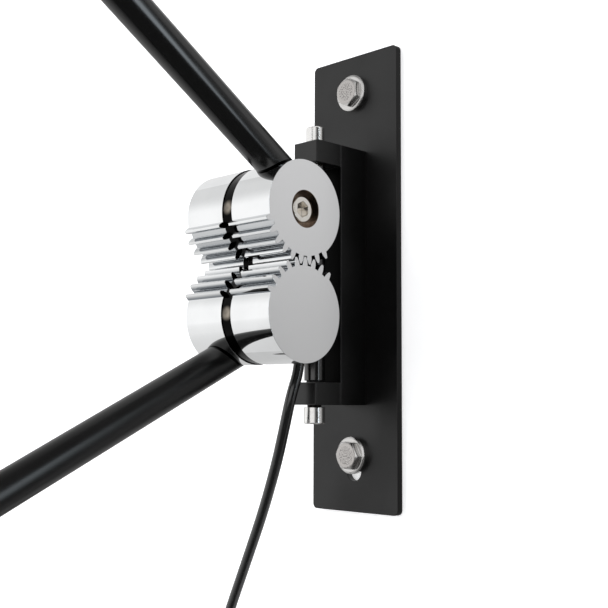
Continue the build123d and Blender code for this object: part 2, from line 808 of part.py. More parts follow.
with BuildPart() as head_housing:
    with BuildSketch(head.offset(head_bottom)):
        with Locations((head_middle, 0)):
            Circle(head_diameter / 2)
    extrude(amount=head_height)
    fillet(head_housing.faces().sort_by(Axis.Z)[-1].edges(), radius=head_edge_round)
    with BuildSketch(head.offset(head_bottom)):
        with Locations((head_middle, 0)):
            Circle(lens_radius)
    extrude(amount=ledge - head_bottom, mode=Mode.SUBTRACT)
    with BuildSketch(head.offset(ledge)):
        with Locations((head_middle, 0)):
            Circle(lens_radius - diffuser_ledge)
        with Locations((foot_middle, 0)):
            RectangleRounded(foot_length, foot_width, foot_corner, mode=Mode.SUBTRACT)
        with Locations(*standoff_places):
            Circle(standoff_diameter / 2, mode=Mode.SUBTRACT)
    extrude(amount=ceiling - ledge, mode=Mode.SUBTRACT)
    with BuildSketch(head.offset(ledge)):
        with Locations((head_middle, 0)):
            Circle(lens_radius - diffuser_ledge)
    extrude(amount=board_top - ledge, mode=Mode.SUBTRACT)
    with BuildSketch(head.offset(board_top)):
        with Locations((foot_middle, 0)):
            RectangleRounded(foot_length + side_gap, foot_width + side_gap, foot_corner)
        with Locations((head_middle, 0)):
            Circle(lens_radius - diffuser_ledge, mode=Mode.INTERSECT)
    extrude(amount=standoff_height - foot_pad_thick, mode=Mode.SUBTRACT)
    with BuildSketch(head.offset(-head_drop)):
        with Locations(*lug_screw_places):
            Circle(lug_screw_size / 2)
    extrude(amount=-lug_screw_grip - hole_slack, mode=Mode.SUBTRACT)
    with BuildSketch(head.offset(board_top)):
        with Locations(*standoff_places):
            Circle(board_screw_size / 2)
    extrude(amount=board_screw_grip + hole_slack, mode=Mode.SUBTRACT)
    with BuildSketch(head.offset(-head_drop)):
        with Locations((button_from_hinge, 0)):
            Circle(button_diameter / 2 + slide_gap)
    extrude(amount=-head_top, mode=Mode.SUBTRACT)
head_housing.part.label = "head_housing"
export_step(head_housing.part, "parts/head_housing.step")

with BuildPart() as led_board:
    with BuildSketch(head.offset(board_bottom)):
        with Locations((head_middle, 0)):
            Circle(board_diameter / 2)
        with Locations(*standoff_places):
            Circle(board_screw_size / 2 + hole_slack, mode=Mode.SUBTRACT)
    extrude(amount=board_thick)
led_board.part.label = "led_board"
export_step(led_board.part, "parts/led_board.step")

with BuildPart() as board_screws:
    with BuildSketch(head.offset(board_bottom)):
        with Locations(*standoff_places):
            Circle(board_screw_head / 2)
    extrude(amount=-board_screw_head_height)
    with BuildSketch(head.offset(board_bottom)):
        with Locations(*standoff_places):
            Circle(board_screw_size / 2 - thread_gap)
    extrude(amount=board_thick + board_screw_grip)
board_screws.part.label = "board_screws"
export_step(board_screws.part, "parts/board_screws.step")

with BuildPart() as diffuser:
    with BuildSketch(head.offset(ledge)):
        with Locations((head_middle, 0)):
            Circle(lens_radius - side_gap)
    extrude(amount=-diffuser_thick)
diffuser.part.label = "diffuser"
export_step(diffuser.part, "parts/diffuser.step")

with BuildPart() as diffuser_ring:
    with BuildSketch(head.offset(ledge - diffuser_thick)):
        with Locations((head_middle, 0)):
            Circle(lens_radius - press_gap)
            Circle(lens_radius - ring_width, mode=Mode.SUBTRACT)
    extrude(amount=-ring_thick)
diffuser_ring.part.label = "diffuser_ring"
export_step(diffuser_ring.part, "parts/diffuser_ring.step")

with BuildPart() as switch_body:
    with BuildSketch(head.offset(board_top)):
        with Locations((button_from_hinge, 0)):
            Rectangle(switch_side, switch_side)
    extrude(amount=switch_top - board_top)
    with BuildSketch(head.offset(switch_top)):
        with Locations((button_from_hinge, 0)):
            Circle(button_stem / 2 + slide_gap)
    extrude(amount=board_top - switch_top, mode=Mode.SUBTRACT)
switch_body.part.label = "switch_body"
export_step(switch_body.part, "parts/switch_body.step")

with BuildPart() as switch_button:
    with BuildSketch(head.offset(flange_bottom)):
        with Locations((button_from_hinge, 0)):
            Circle(button_diameter / 2)
    extrude(amount=button_rise - head_drop - flange_bottom)
    chamfer(switch_button.edges().sort_by(Axis.Z)[-1], length=button_bevel)
    with BuildSketch(head.offset(flange_bottom)):
        with Locations((button_from_hinge, 0)):
            Circle(button_flange / 2)
    extrude(amount=button_flange_thick)
    with BuildSketch(head.offset(flange_bottom)):
        with Locations((button_from_hinge, 0)):
            Circle(button_stem / 2)
    extrude(amount=-button_stem_length)
switch_button.part.label = "switch_button"
export_step(switch_button.part, "parts/switch_button.step")


def corner_radii(points):
    """Largest fitting bend at each inner point of a route."""
    radii = []
    for before, here, after in zip(points, points[1:], points[2:]):
        into = Vector(here) - Vector(before)
        out = Vector(after) - Vector(here)
        turn = into.get_angle(out)
        radii.append(bend_share * min(into.length, out.length) / tan(radians(turn / 2)))
    return radii


def report_tube(name, tube, length):
    """Print a swept tube's volume as a share of its section times its length."""
    section = pi * cord_radius**2
    print(f"{name}: length {length:.1f}, volume share {tube.volume / (section * length):.5f}")


# Cord from the gland to the coil
cord_radii = corner_radii(cord_route)
print("cord_stretch radii:", [round(radius, 1) for radius in cord_radii])

with BuildPart() as cord_stretch:
    with BuildLine() as stretch_line:
        FilletPolyline(*cord_route, radius=cord_radii)
    with BuildSketch(Plane(origin=cord_route[0], z_dir=stretch_line.line % 0)):
        Circle(cord_radius)
    sweep()
cord_stretch.part.label = "cord_stretch"
export_step(cord_stretch.part, "parts/cord_stretch.step")
report_tube("cord_stretch", cord_stretch.part, stretch_line.wire().length)

# Coil in two layers: it spirals in, steps over in the half turn that reverses, and spirals out again
half_turns = 2 * coil_turns
reversing = coil_turns
coil_start = Vector(*cord_route[-1])
straight = Vector(0, 0, -cord_diameter)
with BuildPart() as cord_coil:
    with BuildLine() as coil_line:
        here = coil_start + straight
        Line(coil_start, here)
        for half in range(half_turns):
            bend = coil_radius - (reversing - abs(half - reversing)) * coil_pitch / 2
            heading = -1 if half % 2 == 0 else 1
            step = -coil_pitch if half == reversing else 0
            there = here + Vector(2 * heading * bend, step, 0)
            crown = (here + there) * 0.5 + Vector(0, 0, heading * (there - here).length / 2)
            ThreePointArc(here, crown, there)
            here = there
        Line(here, here + straight)
    with BuildSketch(Plane(origin=coil_start, z_dir=straight)):
        Circle(cord_radius)
    sweep()
cord_coil.part.label = "cord_coil"
export_step(cord_coil.part, "parts/cord_coil.step")
coil_wire = coil_line.wire()
report_tube("cord_coil", cord_coil.part, coil_wire.length)

coil_samples = 900
coil_points = [coil_wire.position_at(index / coil_samples) for index in range(coil_samples + 1)]
far_enough = int(3 * cord_diameter / coil_wire.length * coil_samples) + 1
least_gap = min(
    (coil_points[first] - coil_points[second]).length - cord_diameter
    for first in range(coil_samples)
    for second in range(first + far_enough, coil_samples + 1)
)
print(f"cord_coil least gap to itself: {least_gap:.2f}")

# Tie round the coil's upper side
coil_height = coil_start.Z - cord_diameter
inner_bend = coil_radius - reversing * coil_pitch / 2
outer_bend = coil_radius - coil_pitch / 2
inner_sag = inner_bend - sqrt(inner_bend**2 - (tie_width / 2) ** 2)
tie_low = coil_height + inner_bend - cord_radius - cord_gap - inner_sag
tie_high = coil_height + outer_bend + cord_radius + cord_gap
tie_back = coil_start.Y + cord_radius + cord_gap
tie_front = coil_start.Y - coil_pitch - cord_radius - cord_gap
tie_middle_x = coil_start.X - coil_radius - coil_pitch / 2
tie_plane = side.offset(tie_middle_x)

with BuildPart() as coil_tie:
    with BuildSketch(tie_plane):
        with Locations(((tie_back + tie_front) / 2, (tie_low + tie_high) / 2)):
            RectangleRounded(
                tie_back - tie_front + 2 * tie_wall, tie_high - tie_low + 2 * tie_wall, tie_corner
            )
            Rectangle(tie_back - tie_front, tie_high - tie_low, mode=Mode.SUBTRACT)
    extrude(amount=tie_width / 2, both=True)
coil_tie.part.label = "coil_tie"
export_step(coil_tie.part, "parts/coil_tie.step")

# Lead from the coil to the plug
coil_end = here + straight
lead_steps = [(0, 0, 0), (0, 0, -12), (1.6, 0.6, -30), (3.4, 1.0, -48), (3.4, 1.0, -62)]
lead_route = [(coil_end.X + step[0], coil_end.Y + step[1], coil_end.Z + step[2]) for step in lead_steps]
lead_radii = corner_radii(lead_route)
print("plug_lead radii:", [round(radius, 1) for radius in lead_radii])

with BuildPart() as plug_lead:
    with BuildLine() as lead_line:
        FilletPolyline(*lead_route, radius=lead_radii)
    with BuildSketch(Plane(origin=lead_route[0], z_dir=lead_line.line % 0)):
        Circle(cord_radius)
    sweep()
plug_lead.part.label = "plug_lead"
export_step(plug_lead.part, "parts/plug_lead.step")
report_tube("plug_lead", plug_lead.part, lead_line.wire().length)
cord_length = stretch_line.wire().length + coil_wire.length + lead_line.wire().length
print(f"cord length in all: {cord_length:.0f}")

# Flat two-pin plug, hanging with its pins down
plug_x, plug_y, boot_top = lead_route[-1]
plug_top = boot_top - boot_height
plug_bottom = plug_top - plug_height
plug_face = Plane(origin=(plug_x, plug_y, plug_bottom), x_dir=(1, 0, 0), z_dir=(0, -1, 0))
plug_base = Plane.XY.offset(plug_bottom)
pin_places = [(plug_x + turn * plug_pin_spacing / 2, plug_y) for turn in (-1, 1)]

with BuildPart() as plug_body:
    with BuildSketch(plug_face):
        with BuildLine():
            Polyline(
                (-plug_width / 2, 0),
                (plug_width / 2, 0),
                (plug_width / 2, plug_height - plug_shoulder),
                (plug_neck / 2, plug_height),
                (-plug_neck / 2, plug_height),
                (-plug_width / 2, plug_height - plug_shoulder),
                close=True,
            )
        make_face()
    extrude(amount=plug_depth / 2, both=True)
    slanted = plug_body.edges().filter_by(Axis.Y, reverse=True).filter_by(Axis.X, reverse=True)
    fillet(slanted, radius=plug_round)
    with BuildSketch(Plane.XY.offset(plug_top)):
        with Locations((plug_x, plug_y)):
            Circle(boot_diameter / 2)
    with BuildSketch(Plane.XY.offset(boot_top)):
        with Locations((plug_x, plug_y)):
            Circle(boot_tip / 2)
    loft()
    with BuildSketch(plug_base):
        with Locations(*pin_places):
            Circle(plug_pin_size / 2 + press_gap)
    extrude(amount=plug_pin_root, mode=Mode.SUBTRACT)
plug_body.part.label = "plug_body"
export_step(plug_body.part, "parts/plug_body.step")

with BuildPart() as plug_pins:
    with BuildSketch(plug_base.offset(plug_pin_root)):
        with Locations(*pin_places):
            Circle(plug_pin_size / 2)
    extrude(amount=-plug_pin_root - plug_pin_length)
    chamfer(plug_pins.faces().group_by(Axis.Z)[0].edges(), length=plug_pin_bevel)
plug_pins.part.label = "plug_pins"
export_step(plug_pins.part, "parts/plug_pins.step")
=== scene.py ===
"""Counterbalanced wall lamp with a geared arm joint, dressed for a plain studio picture."""

import logging
import math
from dataclasses import dataclass, field
from enum import Enum

import bpy
from mathutils import Matrix, Vector


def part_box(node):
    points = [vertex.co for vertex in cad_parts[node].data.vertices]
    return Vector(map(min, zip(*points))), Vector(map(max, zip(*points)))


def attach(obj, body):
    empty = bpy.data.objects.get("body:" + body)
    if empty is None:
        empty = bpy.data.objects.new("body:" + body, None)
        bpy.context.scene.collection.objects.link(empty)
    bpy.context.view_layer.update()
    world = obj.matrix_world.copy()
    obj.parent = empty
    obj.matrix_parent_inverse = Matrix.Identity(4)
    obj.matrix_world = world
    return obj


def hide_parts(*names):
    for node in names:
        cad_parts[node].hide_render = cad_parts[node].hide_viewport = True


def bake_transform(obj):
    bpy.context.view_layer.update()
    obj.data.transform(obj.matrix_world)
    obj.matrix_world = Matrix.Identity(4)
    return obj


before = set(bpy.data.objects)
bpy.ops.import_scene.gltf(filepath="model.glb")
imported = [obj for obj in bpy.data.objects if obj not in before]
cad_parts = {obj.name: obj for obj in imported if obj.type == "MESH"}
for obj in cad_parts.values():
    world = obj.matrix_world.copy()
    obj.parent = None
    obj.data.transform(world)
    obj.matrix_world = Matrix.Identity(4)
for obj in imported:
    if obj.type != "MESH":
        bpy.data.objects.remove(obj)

Socket = bpy.types.NodeSocket
Node = bpy.types.Node
Tree = bpy.types.NodeTree
Material = bpy.types.Material
Piece = bpy.types.Object
Sockets = bpy.types.bpy_prop_collection
Colour = tuple[float, float, float]
Point = tuple[float, float, float]
Range = tuple[float, float]
Levels = tuple[Range, ...]
Face = tuple[int, ...]
Feed = float | tuple[float, ...] | Socket

LOG = logging.getLogger("wall_lamp")
MM = 0.001
# Each gear axle's place along Y and Z
AXLES = {"upper": (-77.3 * MM, 28.1 * MM), "lower": (-77.3 * MM, -25.9 * MM)}
ORIGIN = (0.0, 0.0, 0.0)
AXIS_X = (1.0, 0.0, 0.0)
AXIS_Y = (0.0, 1.0, 0.0)
AXIS_Z = (0.0, 0.0, 1.0)
# Between these lie most of a noise's values
NOISE_MIDDLE = (0.3, 0.7)


class Body(Enum):
    """The bodies that the soft pieces ride on."""

    BRACKET = "bracket"
    SWIVEL = "swivel"


def grey(level: float) -> Colour:
    """Gives a neutral colour."""
    return (level, level, level)


def darker(colour: Colour, share: float) -> Colour:
    """Gives a colour at a share of its brightness."""
    return tuple(share * part for part in colour)


def rgba(colour: Colour) -> tuple[float, float, float, float]:
    """Gives a colour its full alpha."""
    return (*colour, 1.0)


class NodeSheet:
    """Adds nodes to one node tree and links them."""

    def __init__(self, tree: Tree) -> None:
        """Takes the tree that the nodes go into."""
        self.tree = tree

    def add(self, kind: str, feeds: dict[str | int, Feed] | None = None, **settings: object) -> Node:
        """Adds one node.

        Args:
            kind: the node's type, such as ShaderNodeTexNoise.
            feeds: what goes into its inputs, each a value or another node's output.
            settings: the node's own properties.

        Returns:
            The new node.
        """
        node = self.tree.nodes.new(kind)
        for name, value in settings.items():
            setattr(node, name, value)
        for name, value in (feeds or {}).items():
            self.feed(node.inputs[name], value)
        return node

    def feed(self, socket: Socket, value: Feed) -> None:
        """Links an output to a socket, or sets the socket's value.

        Args:
            socket: the input that is fed.
            value: an output or a value.
        """
        if isinstance(value, Socket):
            self.tree.links.new(value, socket)
        else:
            socket.default_value = value

    def group(self, tree: Tree, feeds: dict[str | int, Feed]) -> Sockets:
        """Places a shared node group with its own values, and returns its outputs."""
        return self.add("ShaderNodeGroup", feeds, node_tree=tree).outputs

    def calc(self, operation: str, first: Feed, second: Feed = 0.0) -> Socket:
        """Adds a math node and returns its result."""
        return self.add("ShaderNodeMath", {0: first, 1: second}, operation=operation).outputs[0]

    def vector(self, operation: str, first: Feed, second: Feed = ORIGIN) -> Node:
        """Adds a vector math node."""
        return self.add("ShaderNodeVectorMath", {0: first, 1: second}, operation=operation)

    def ramp(self, value: Feed, low: float, high: float, at_low: float, at_high: float) -> Socket:
        """Maps a value smoothly, to at_low at and below low and to at_high at and above high."""
        feeds = {"Value": value, "From Min": low, "From Max": high, "To Min": at_low, "To Max": at_high}
        return self.add("ShaderNodeMapRange", feeds, interpolation_type="SMOOTHSTEP").outputs["Result"]

    def blend(self, share: Feed, first: Feed, second: Feed) -> Socket:
        """Mixes two colours by a share.

        Args:
            share: the second colour's part, from 0 to 1.
            first: the colour at 0.
            second: the colour at 1.

        Returns:
            The mixed colour.
        """
        node = self.add("ShaderNodeMix", {"Factor": share}, data_type="RGBA")
        for index, colour in ((6, first), (7, second)):
            self.feed(node.inputs[index], colour if isinstance(colour, Socket) else rgba(colour))
        return node.outputs[2]

    def between(self, share: Feed, first: Feed, second: Feed) -> Socket:
        """Mixes two values by a share and returns the result."""
        return self.add("ShaderNodeMix", {0: share, 2: first, 3: second}, data_type="FLOAT").outputs[0]

    def shaders(self, share: Feed, first: Node, second: Node) -> Node:
        """Mixes two shaders by a share."""
        return self.add("ShaderNodeMixShader", {0: share, 1: first.outputs[0], 2: second.outputs[0]})

    def stops(self, value: Socket, levels: Levels) -> Socket:
        """Reads a value off straight lines between stops.

        Args:
            value: what is looked up.
            levels: each stop's value and the result there, in rising order.

        Returns:
            The result.
        """
        low, high = levels[0][0], levels[-1][0]
        share = self.calc("DIVIDE", self.calc("SUBTRACT", value, low), high - low)
        node = self.add("ShaderNodeValToRGB", {0: share})
        marks = node.color_ramp.elements
        while len(marks) < len(levels):
            marks.new(1.0)
        for mark, (place, level) in zip(marks, levels):
            mark.position = (place - low) / (high - low)
            mark.color = rgba(grey(level))
        return node.outputs["Color"]

    def place(self) -> Socket:
        """Gives a surface point's place in the lamp's frame."""
        return self.add("ShaderNodeTexCoord").outputs["Object"]

    def along(self, axis: str) -> Socket:
        """Gives a surface point's place along one axis of the lamp's frame."""
        return self.add("ShaderNodeSeparateXYZ", {0: self.place()}).outputs[axis]

    def away(self, axis: str, middle: float) -> Socket:
        """Gives how far a surface point lies from a place along one axis."""
        return self.calc("ABSOLUTE", self.calc("SUBTRACT", self.along(axis), middle))

    def noise(self, place: Socket, scale: Feed, detail: float) -> Socket:
        """Adds noise and returns its value."""
        feeds = {"Vector": place, "Scale": scale, "Detail": detail}
        return self.add("ShaderNodeTexNoise", feeds).outputs["Fac"]

    def looked_at(self, rays: Node) -> Socket:
        """Marks rays that come from the camera, straight or through something clear."""
        return self.calc("MAXIMUM", rays.outputs["Is Camera Ray"], rays.outputs["Is Transmission Ray"])

    def surface(self, finish: "Finish", shader: Node, colour: Socket, rough: Socket, height: Socket) -> Node:
        """Feeds a shader its colour, its roughness and a normal that a height bumps.

        Args:
            finish: the finish, with its bump's depth and strength.
            shader: the material's shader.
            colour: the surface's colour.
            rough: its roughness.
            height: the height that bumps it.

        Returns:
            The bump, which can be fed a normal to start from.
        """
        relief = {"Height": height, "Strength": finish.strength, "Distance": finish.depth}
        bump = self.add("ShaderNodeBump", relief)
        for name, value in (("Base Color", colour), ("Roughness", rough), ("Normal", bump.outputs[0])):
            self.feed(shader.inputs[name], value)
        return bump


class Effects:
    """Shader node groups that several finishes share."""

    bevel_samples: int = 8
    edge_match: Range = (0.995, 0.80)
    speck_fade: Range = (0.02, 0.12)
    upward: Range = (0.2, 0.9)

    def __init__(self) -> None:
        """Builds each group once."""
        self.grain = self.make_grain()
        self.edges = self.make_edges()
        self.turning = self.make_turning()
        self.dust = self.make_dust()

    @staticmethod
    def new_group(
        name: str, inputs: dict[str, float | Point], outputs: tuple[str, ...]
    ) -> tuple[Tree, NodeSheet, Sockets, Sockets]:
        """Makes an empty group with its sockets.

        Args:
            name: the group's name.
            inputs: each input's name and first value, a number or a vector.
            outputs: the outputs' names. Normal is a vector, the others are numbers.

        Returns:
            The group, a sheet to add nodes to it, what it is given and where its results go.
        """
        tree = bpy.data.node_groups.new(name, "ShaderNodeTree")
        for label, start in inputs.items():
            kind = "NodeSocketVector" if isinstance(start, tuple) else "NodeSocketFloat"
            tree.interface.new_socket(label, in_out="INPUT", socket_type=kind).default_value = start
        for label in outputs:
            kind = "NodeSocketVector" if label == "Normal" else "NodeSocketFloat"
            tree.interface.new_socket(label, in_out="OUTPUT", socket_type=kind)
        sheet = NodeSheet(tree)
        return tree, sheet, sheet.add("NodeGroupInput").outputs, sheet.add("NodeGroupOutput").inputs

    def make_grain(self) -> Tree:
        """Makes fine grain and broad blotches, as paint, cast or moulded skins have.

        Returns:
            The group.
        """
        tree, sheet, given, result = self.new_group(
            "surface_grain", {"Grain Size": 0.4 * MM, "Blotch Size": 20.0 * MM}, ("Height", "Blotch")
        )
        place = sheet.place()
        for label, size, detail in (("Height", "Grain Size", 3.0), ("Blotch", "Blotch Size", 4.0)):
            scale = sheet.calc("DIVIDE", 1.0, given[size])
            sheet.feed(result[label], sheet.noise(place, scale, detail))
        return tree

    def make_edges(self) -> Tree:
        """Makes rounded edges and a mask along them, where paint thins and metal is rubbed.

        Returns:
            The group.
        """
        tree, sheet, given, result = self.new_group("soft_edges", {"Radius": 0.5 * MM}, ("Normal", "Edge"))
        bevel = sheet.add("ShaderNodeBevel", {"Radius": given["Radius"]}, samples=self.bevel_samples)
        flat = sheet.add("ShaderNodeNewGeometry").outputs["Normal"]
        match = sheet.vector("DOT_PRODUCT", bevel.outputs[0], flat).outputs["Value"]
        sheet.feed(result["Normal"], bevel.outputs[0])
        sheet.feed(result["Edge"], sheet.ramp(match, *self.edge_match, 0.0, 1.0))
        return tree

    def make_turning(self) -> Tree:
        """Makes fine rings about an axis, as a lathe leaves them.

        Returns:
            The group.
        """
        tree, sheet, given, result = self.new_group(
            "turned_rings", {"Centre": ORIGIN, "Axis": AXIS_X, "Pitch": 0.4 * MM}, ("Height", "Radius")
        )
        arm = sheet.vector("SUBTRACT", sheet.place(), given["Centre"]).outputs[0]
        along = sheet.vector("DOT_PRODUCT", arm, given["Axis"]).outputs["Value"]
        lift = sheet.vector("SCALE", given["Axis"])
        sheet.feed(lift.inputs["Scale"], along)
        flat = sheet.vector("SUBTRACT", arm, lift.outputs[0]).outputs[0]
        radius = sheet.vector("LENGTH", flat).outputs["Value"]
        rings = sheet.calc("DIVIDE", radius, given["Pitch"])
        feeds = {"W": rings, "Scale": 1.0, "Detail": 2.0}
        noise = sheet.add("ShaderNodeTexNoise", feeds, noise_dimensions="1D")
        sheet.feed(result["Height"], noise.outputs["Fac"])
        sheet.feed(result["Radius"], radius)
        return tree

    def make_dust(self) -> Tree:
        """Makes sparse pale specks that settle on faces that look upward.

        Returns:
            The group.
        """
        tree, sheet, given, result = self.new_group(
            "settled_dust", {"Speck Size": 3.0 * MM, "Amount": 0.1}, ("Dust",)
        )
        scale = sheet.calc("DIVIDE", 1.0, given["Speck Size"])
        cells = sheet.add("ShaderNodeTexVoronoi", {"Vector": sheet.place(), "Scale": scale})
        speck = sheet.ramp(cells.outputs["Distance"], *self.speck_fade, 1.0, 0.0)
        normal = sheet.add("ShaderNodeNewGeometry").outputs["Normal"]
        height = sheet.add("ShaderNodeSeparateXYZ", {0: normal}).outputs["Z"]
        settled = sheet.calc("MULTIPLY", speck, sheet.ramp(height, *self.upward, 0.0, 1.0))
        sheet.feed(result["Dust"], sheet.calc("MULTIPLY", settled, given["Amount"]))
        return tree


def new_material(name: str) -> tuple[Material, NodeSheet, Node]:
    """Makes a material with its nodes.

    Args:
        name: the material's name.

    Returns:
        The material, a sheet to add nodes to it, and its shader.
    """
    material = bpy.data.materials.new(name)
    material.use_nodes = True
    return material, NodeSheet(material.node_tree), material.node_tree.nodes["Principled BSDF"]


@dataclass(frozen=True)
class Paint:
    """Sprayed or moulded skin with fine grain, soft blotches, thin, paler edges and a little dust."""

    name: str
    colour: Colour
    edge_colour: Colour
    roughness: float
    grain: float = 0.5 * MM
    depth: float = 0.02 * MM
    strength: float = 0.6
    edge: float = 0.6 * MM
    blotch: float = 30.0 * MM
    blotch_tone: float = 0.75
    spread: float = 0.06
    dust: float = 0.05
    dust_colour: Colour = (0.45, 0.44, 0.42)
    level: float = 0.5

    def make(self, effects: Effects) -> Material:
        """Builds the finish's material.

        Args:
            effects: the node groups that finishes share.

        Returns:
            The material.
        """
        material, sheet, shader = new_material(self.name)
        grain = sheet.group(effects.grain, {"Grain Size": self.grain, "Blotch Size": self.blotch})
        edges = sheet.group(effects.edges, {"Radius": self.edge})
        dust = sheet.group(effects.dust, {"Amount": self.dust})
        body = sheet.blend(grain["Blotch"], darker(self.colour, self.blotch_tone), self.colour)
        lightened = sheet.blend(edges["Edge"], body, self.edge_colour)
        dusty = sheet.blend(dust["Dust"], lightened, self.dust_colour)
        low, high = self.roughness - self.spread, self.roughness + self.spread
        rough = sheet.ramp(grain["Blotch"], *NOISE_MIDDLE, low, high)
        bump = sheet.surface(self, shader, self.marked(sheet, shader, dusty), rough, grain["Height"])
        sheet.feed(bump.inputs["Normal"], edges["Normal"])
        shader.inputs["Specular IOR Level"].default_value = self.level
        return material

    def marked(self, sheet: NodeSheet, shader: Node, colour: Socket) -> Socket:
        """Adds the finish's own marks to its colour: plain paint has none."""
        return colour


@dataclass(frozen=True)
class BracketPaint(Paint):
    """Bracket paint with painted shade on the face inside the window, and a painted highlight along that
    face's side edges.
    """

    window_face: float = -25.2 * MM
    face_fade: Range = (0.1 * MM, 0.2 * MM)
    highlight_fade: Range = (0.5 * MM, 0.65 * MM)
    side_fade: Range = (8.9 * MM, 9.0 * MM)
    # painted shade: the face inside the window is near black, and metallic there so that it mirrors almost
    # nothing
    face_colour: Colour = grey(0.002)
    # painted highlight: a thin pale line along the side edges of that face
    painted_edge_highlight: Colour = (0.034, 0.034, 0.035)

    def marked(self, sheet: NodeSheet, shader: Node, colour: Socket) -> Socket:
        """Paints shade on the face inside the window and a highlight along its side edges.

        Args:
            sheet: the material's sheet.
            shader: its shader.
            colour: the plain paint's colour.

        Returns:
            The colour with its marks.
        """
        away = sheet.away("Y", self.window_face)
        inside = sheet.ramp(away, *self.face_fade, 1.0, 0.0)
        # painted shade inside the window
        sheet.feed(shader.inputs["Metallic"], inside)
        beside = sheet.ramp(away, *self.highlight_fade, 1.0, 0.0)
        edge = sheet.calc("MULTIPLY", beside, sheet.ramp(sheet.away("X", 0.0), *self.side_fade, 0.0, 1.0))
        return sheet.blend(edge, sheet.blend(inside, colour, self.face_colour), self.painted_edge_highlight)


@dataclass(frozen=True)
class BlackenedSteel(Paint):
    """Blackened steel with painted glints: bright patches at given places that stand in for reflections."""

    # painted glints on the carrier's rim where it passes the gears' grooves
    glint_places: tuple[Point, ...] = ()
    glint_fade: Range = (1.35 * MM, 4.5 * MM)
    streak: float = 6.0 * MM
    streak_range: Range = (0.35, 0.65)
    streak_least: float = 0.5
    # colour of the painted glints
    lightened: Colour = (0.36, 0.32, 0.27)

    def marked(self, sheet: NodeSheet, shader: Node, colour: Socket) -> Socket:
        """Adds the painted glints.

        Args:
            sheet: the material's sheet.
            shader: its shader.
            colour: the plain paint's colour.

        Returns:
            The colour with its marks.
        """
        place = sheet.place()
        glint: Feed = 0.0
        for spot in self.glint_places:
            gap = sheet.vector("DISTANCE", place, spot).outputs["Value"]
            glint = sheet.calc("MAXIMUM", glint, sheet.ramp(gap, *self.glint_fade, 1.0, 0.0))
        noise = sheet.noise(place, 1.0 / self.streak, 1.0)
        streaks = sheet.ramp(noise, *self.streak_range, self.streak_least, 1.0)
        shader.inputs["Metallic"].default_value = 1.0
        return sheet.blend(sheet.calc("MULTIPLY", glint, streaks), colour, self.lightened)


@dataclass(frozen=True)
class ArmPaint(Paint):
    """Arm paint with painted shadow at the joint where the tube enters its gear."""

    axle: Range = (0.0, 0.0)
    joint_fade: Range = (26.7 * MM, 27.0 * MM)
    # painted shadow: black, and mirroring nothing, where the tube enters its gear
    painted_shadow: Colour = grey(0.0)

    def marked(self, sheet: NodeSheet, shader: Node, colour: Socket) -> Socket:
        """Paints shadow at the joint.

        Args:
            sheet: the material's sheet.
            shader: its shader.
            colour: the plain paint's colour.

        Returns:
            The colour with its marks.
        """
        squares = []
        for axis, middle in zip("YZ", self.axle):
            gap = sheet.away(axis, middle)
            squares.append(sheet.calc("MULTIPLY", gap, gap))
        radius = sheet.calc("SQRT", sheet.calc("ADD", *squares))
        joint = sheet.ramp(radius, *self.joint_fade, 1.0, 0.0)
        # the painted shadow also takes the tube's reflection away there
        sheet.feed(shader.inputs["Metallic"], joint)
        return sheet.blend(joint, colour, self.painted_shadow)


@dataclass(frozen=True)
class TurnedMetal:
    """Bare or plated metal with fine turned rings, faint stains and soft edges."""

    name: str
    colour: Colour
    stain: Colour
    roughness: float
    centre: Point = ORIGIN
    axis: Point = AXIS_Z
    pitch: float = 0.4 * MM
    depth: float = 0.004 * MM
    strength: float = 0.5
    edge: float = 0.4 * MM
    spread: float = 0.03
    blotch: float = 6.0 * MM
    stain_range: Range = (0.45, 0.75)
    stain_share: float = 0.6

    def make(self, effects: Effects) -> Material:
        """Builds the finish's material.

        Args:
            effects: the node groups that finishes share.

        Returns:
            The material.
        """
        material, sheet, shader = new_material(self.name)
        grain = sheet.group(effects.grain, {"Blotch Size": self.blotch})
        edges = sheet.group(effects.edges, {"Radius": self.edge})
        rings = sheet.group(effects.turning, {"Centre": self.centre, "Axis": self.axis, "Pitch": self.pitch})
        stains = sheet.ramp(grain["Blotch"], *self.stain_range, 0.0, self.stain_share)
        low, high = self.roughness - self.spread, self.roughness + self.spread
        rough = sheet.ramp(rings["Height"], *NOISE_MIDDLE, low, high)
        colour = self.marked(sheet, sheet.blend(stains, self.colour, self.stain))
        bump = sheet.surface(self, shader, colour, rough, rings["Height"])
        sheet.feed(bump.inputs["Normal"], edges["Normal"])
        shader.inputs["Metallic"].default_value = 1.0
        return material

    def marked(self, sheet: NodeSheet, colour: Socket) -> Socket:
        """Adds the metal's own marks to its colour: plain metal has none."""
        return colour


@dataclass(frozen=True)
class BoltSteel(TurnedMetal):
    """Plated bolt steel with a bright flange and a dull, stippled head face."""

    head_face: float = -11.2 * MM
    face_fade: Range = (-11.1 * MM, -10.9 * MM)
    heights: Range = (111.3 * MM, -101.7 * MM)
    stipple_fade: Range = (5.1 * MM, 5.6 * MM)
    stipple: float = 0.8 * MM
    pit_range: Range = (0.46, 0.62)
    face_colour: Colour = (0.50, 0.48, 0.465)
    pits: Colour = (0.26, 0.25, 0.24)

    def marked(self, sheet: NodeSheet, colour: Socket) -> Socket:
        """Dulls and stipples the head face inside its edge.

        Args:
            sheet: the material's sheet.
            colour: the plain metal's colour.

        Returns:
            The colour with its marks.
        """
        place = sheet.place()
        gaps = []
        for height in self.heights:
            gaps.append(sheet.vector("DISTANCE", place, (0.0, self.head_face, height)).outputs["Value"])
        inner = sheet.ramp(sheet.calc("MINIMUM", *gaps), *self.stipple_fade, 1.0, 0.0)
        pitted = sheet.ramp(sheet.noise(place, 1.0 / self.stipple, 2.0), *self.pit_range, 0.0, 1.0)
        stippled = sheet.blend(sheet.calc("MULTIPLY", pitted, inner), self.face_colour, self.pits)
        return sheet.blend(sheet.ramp(sheet.along("Y"), *self.face_fade, 1.0, 0.0), colour, stippled)


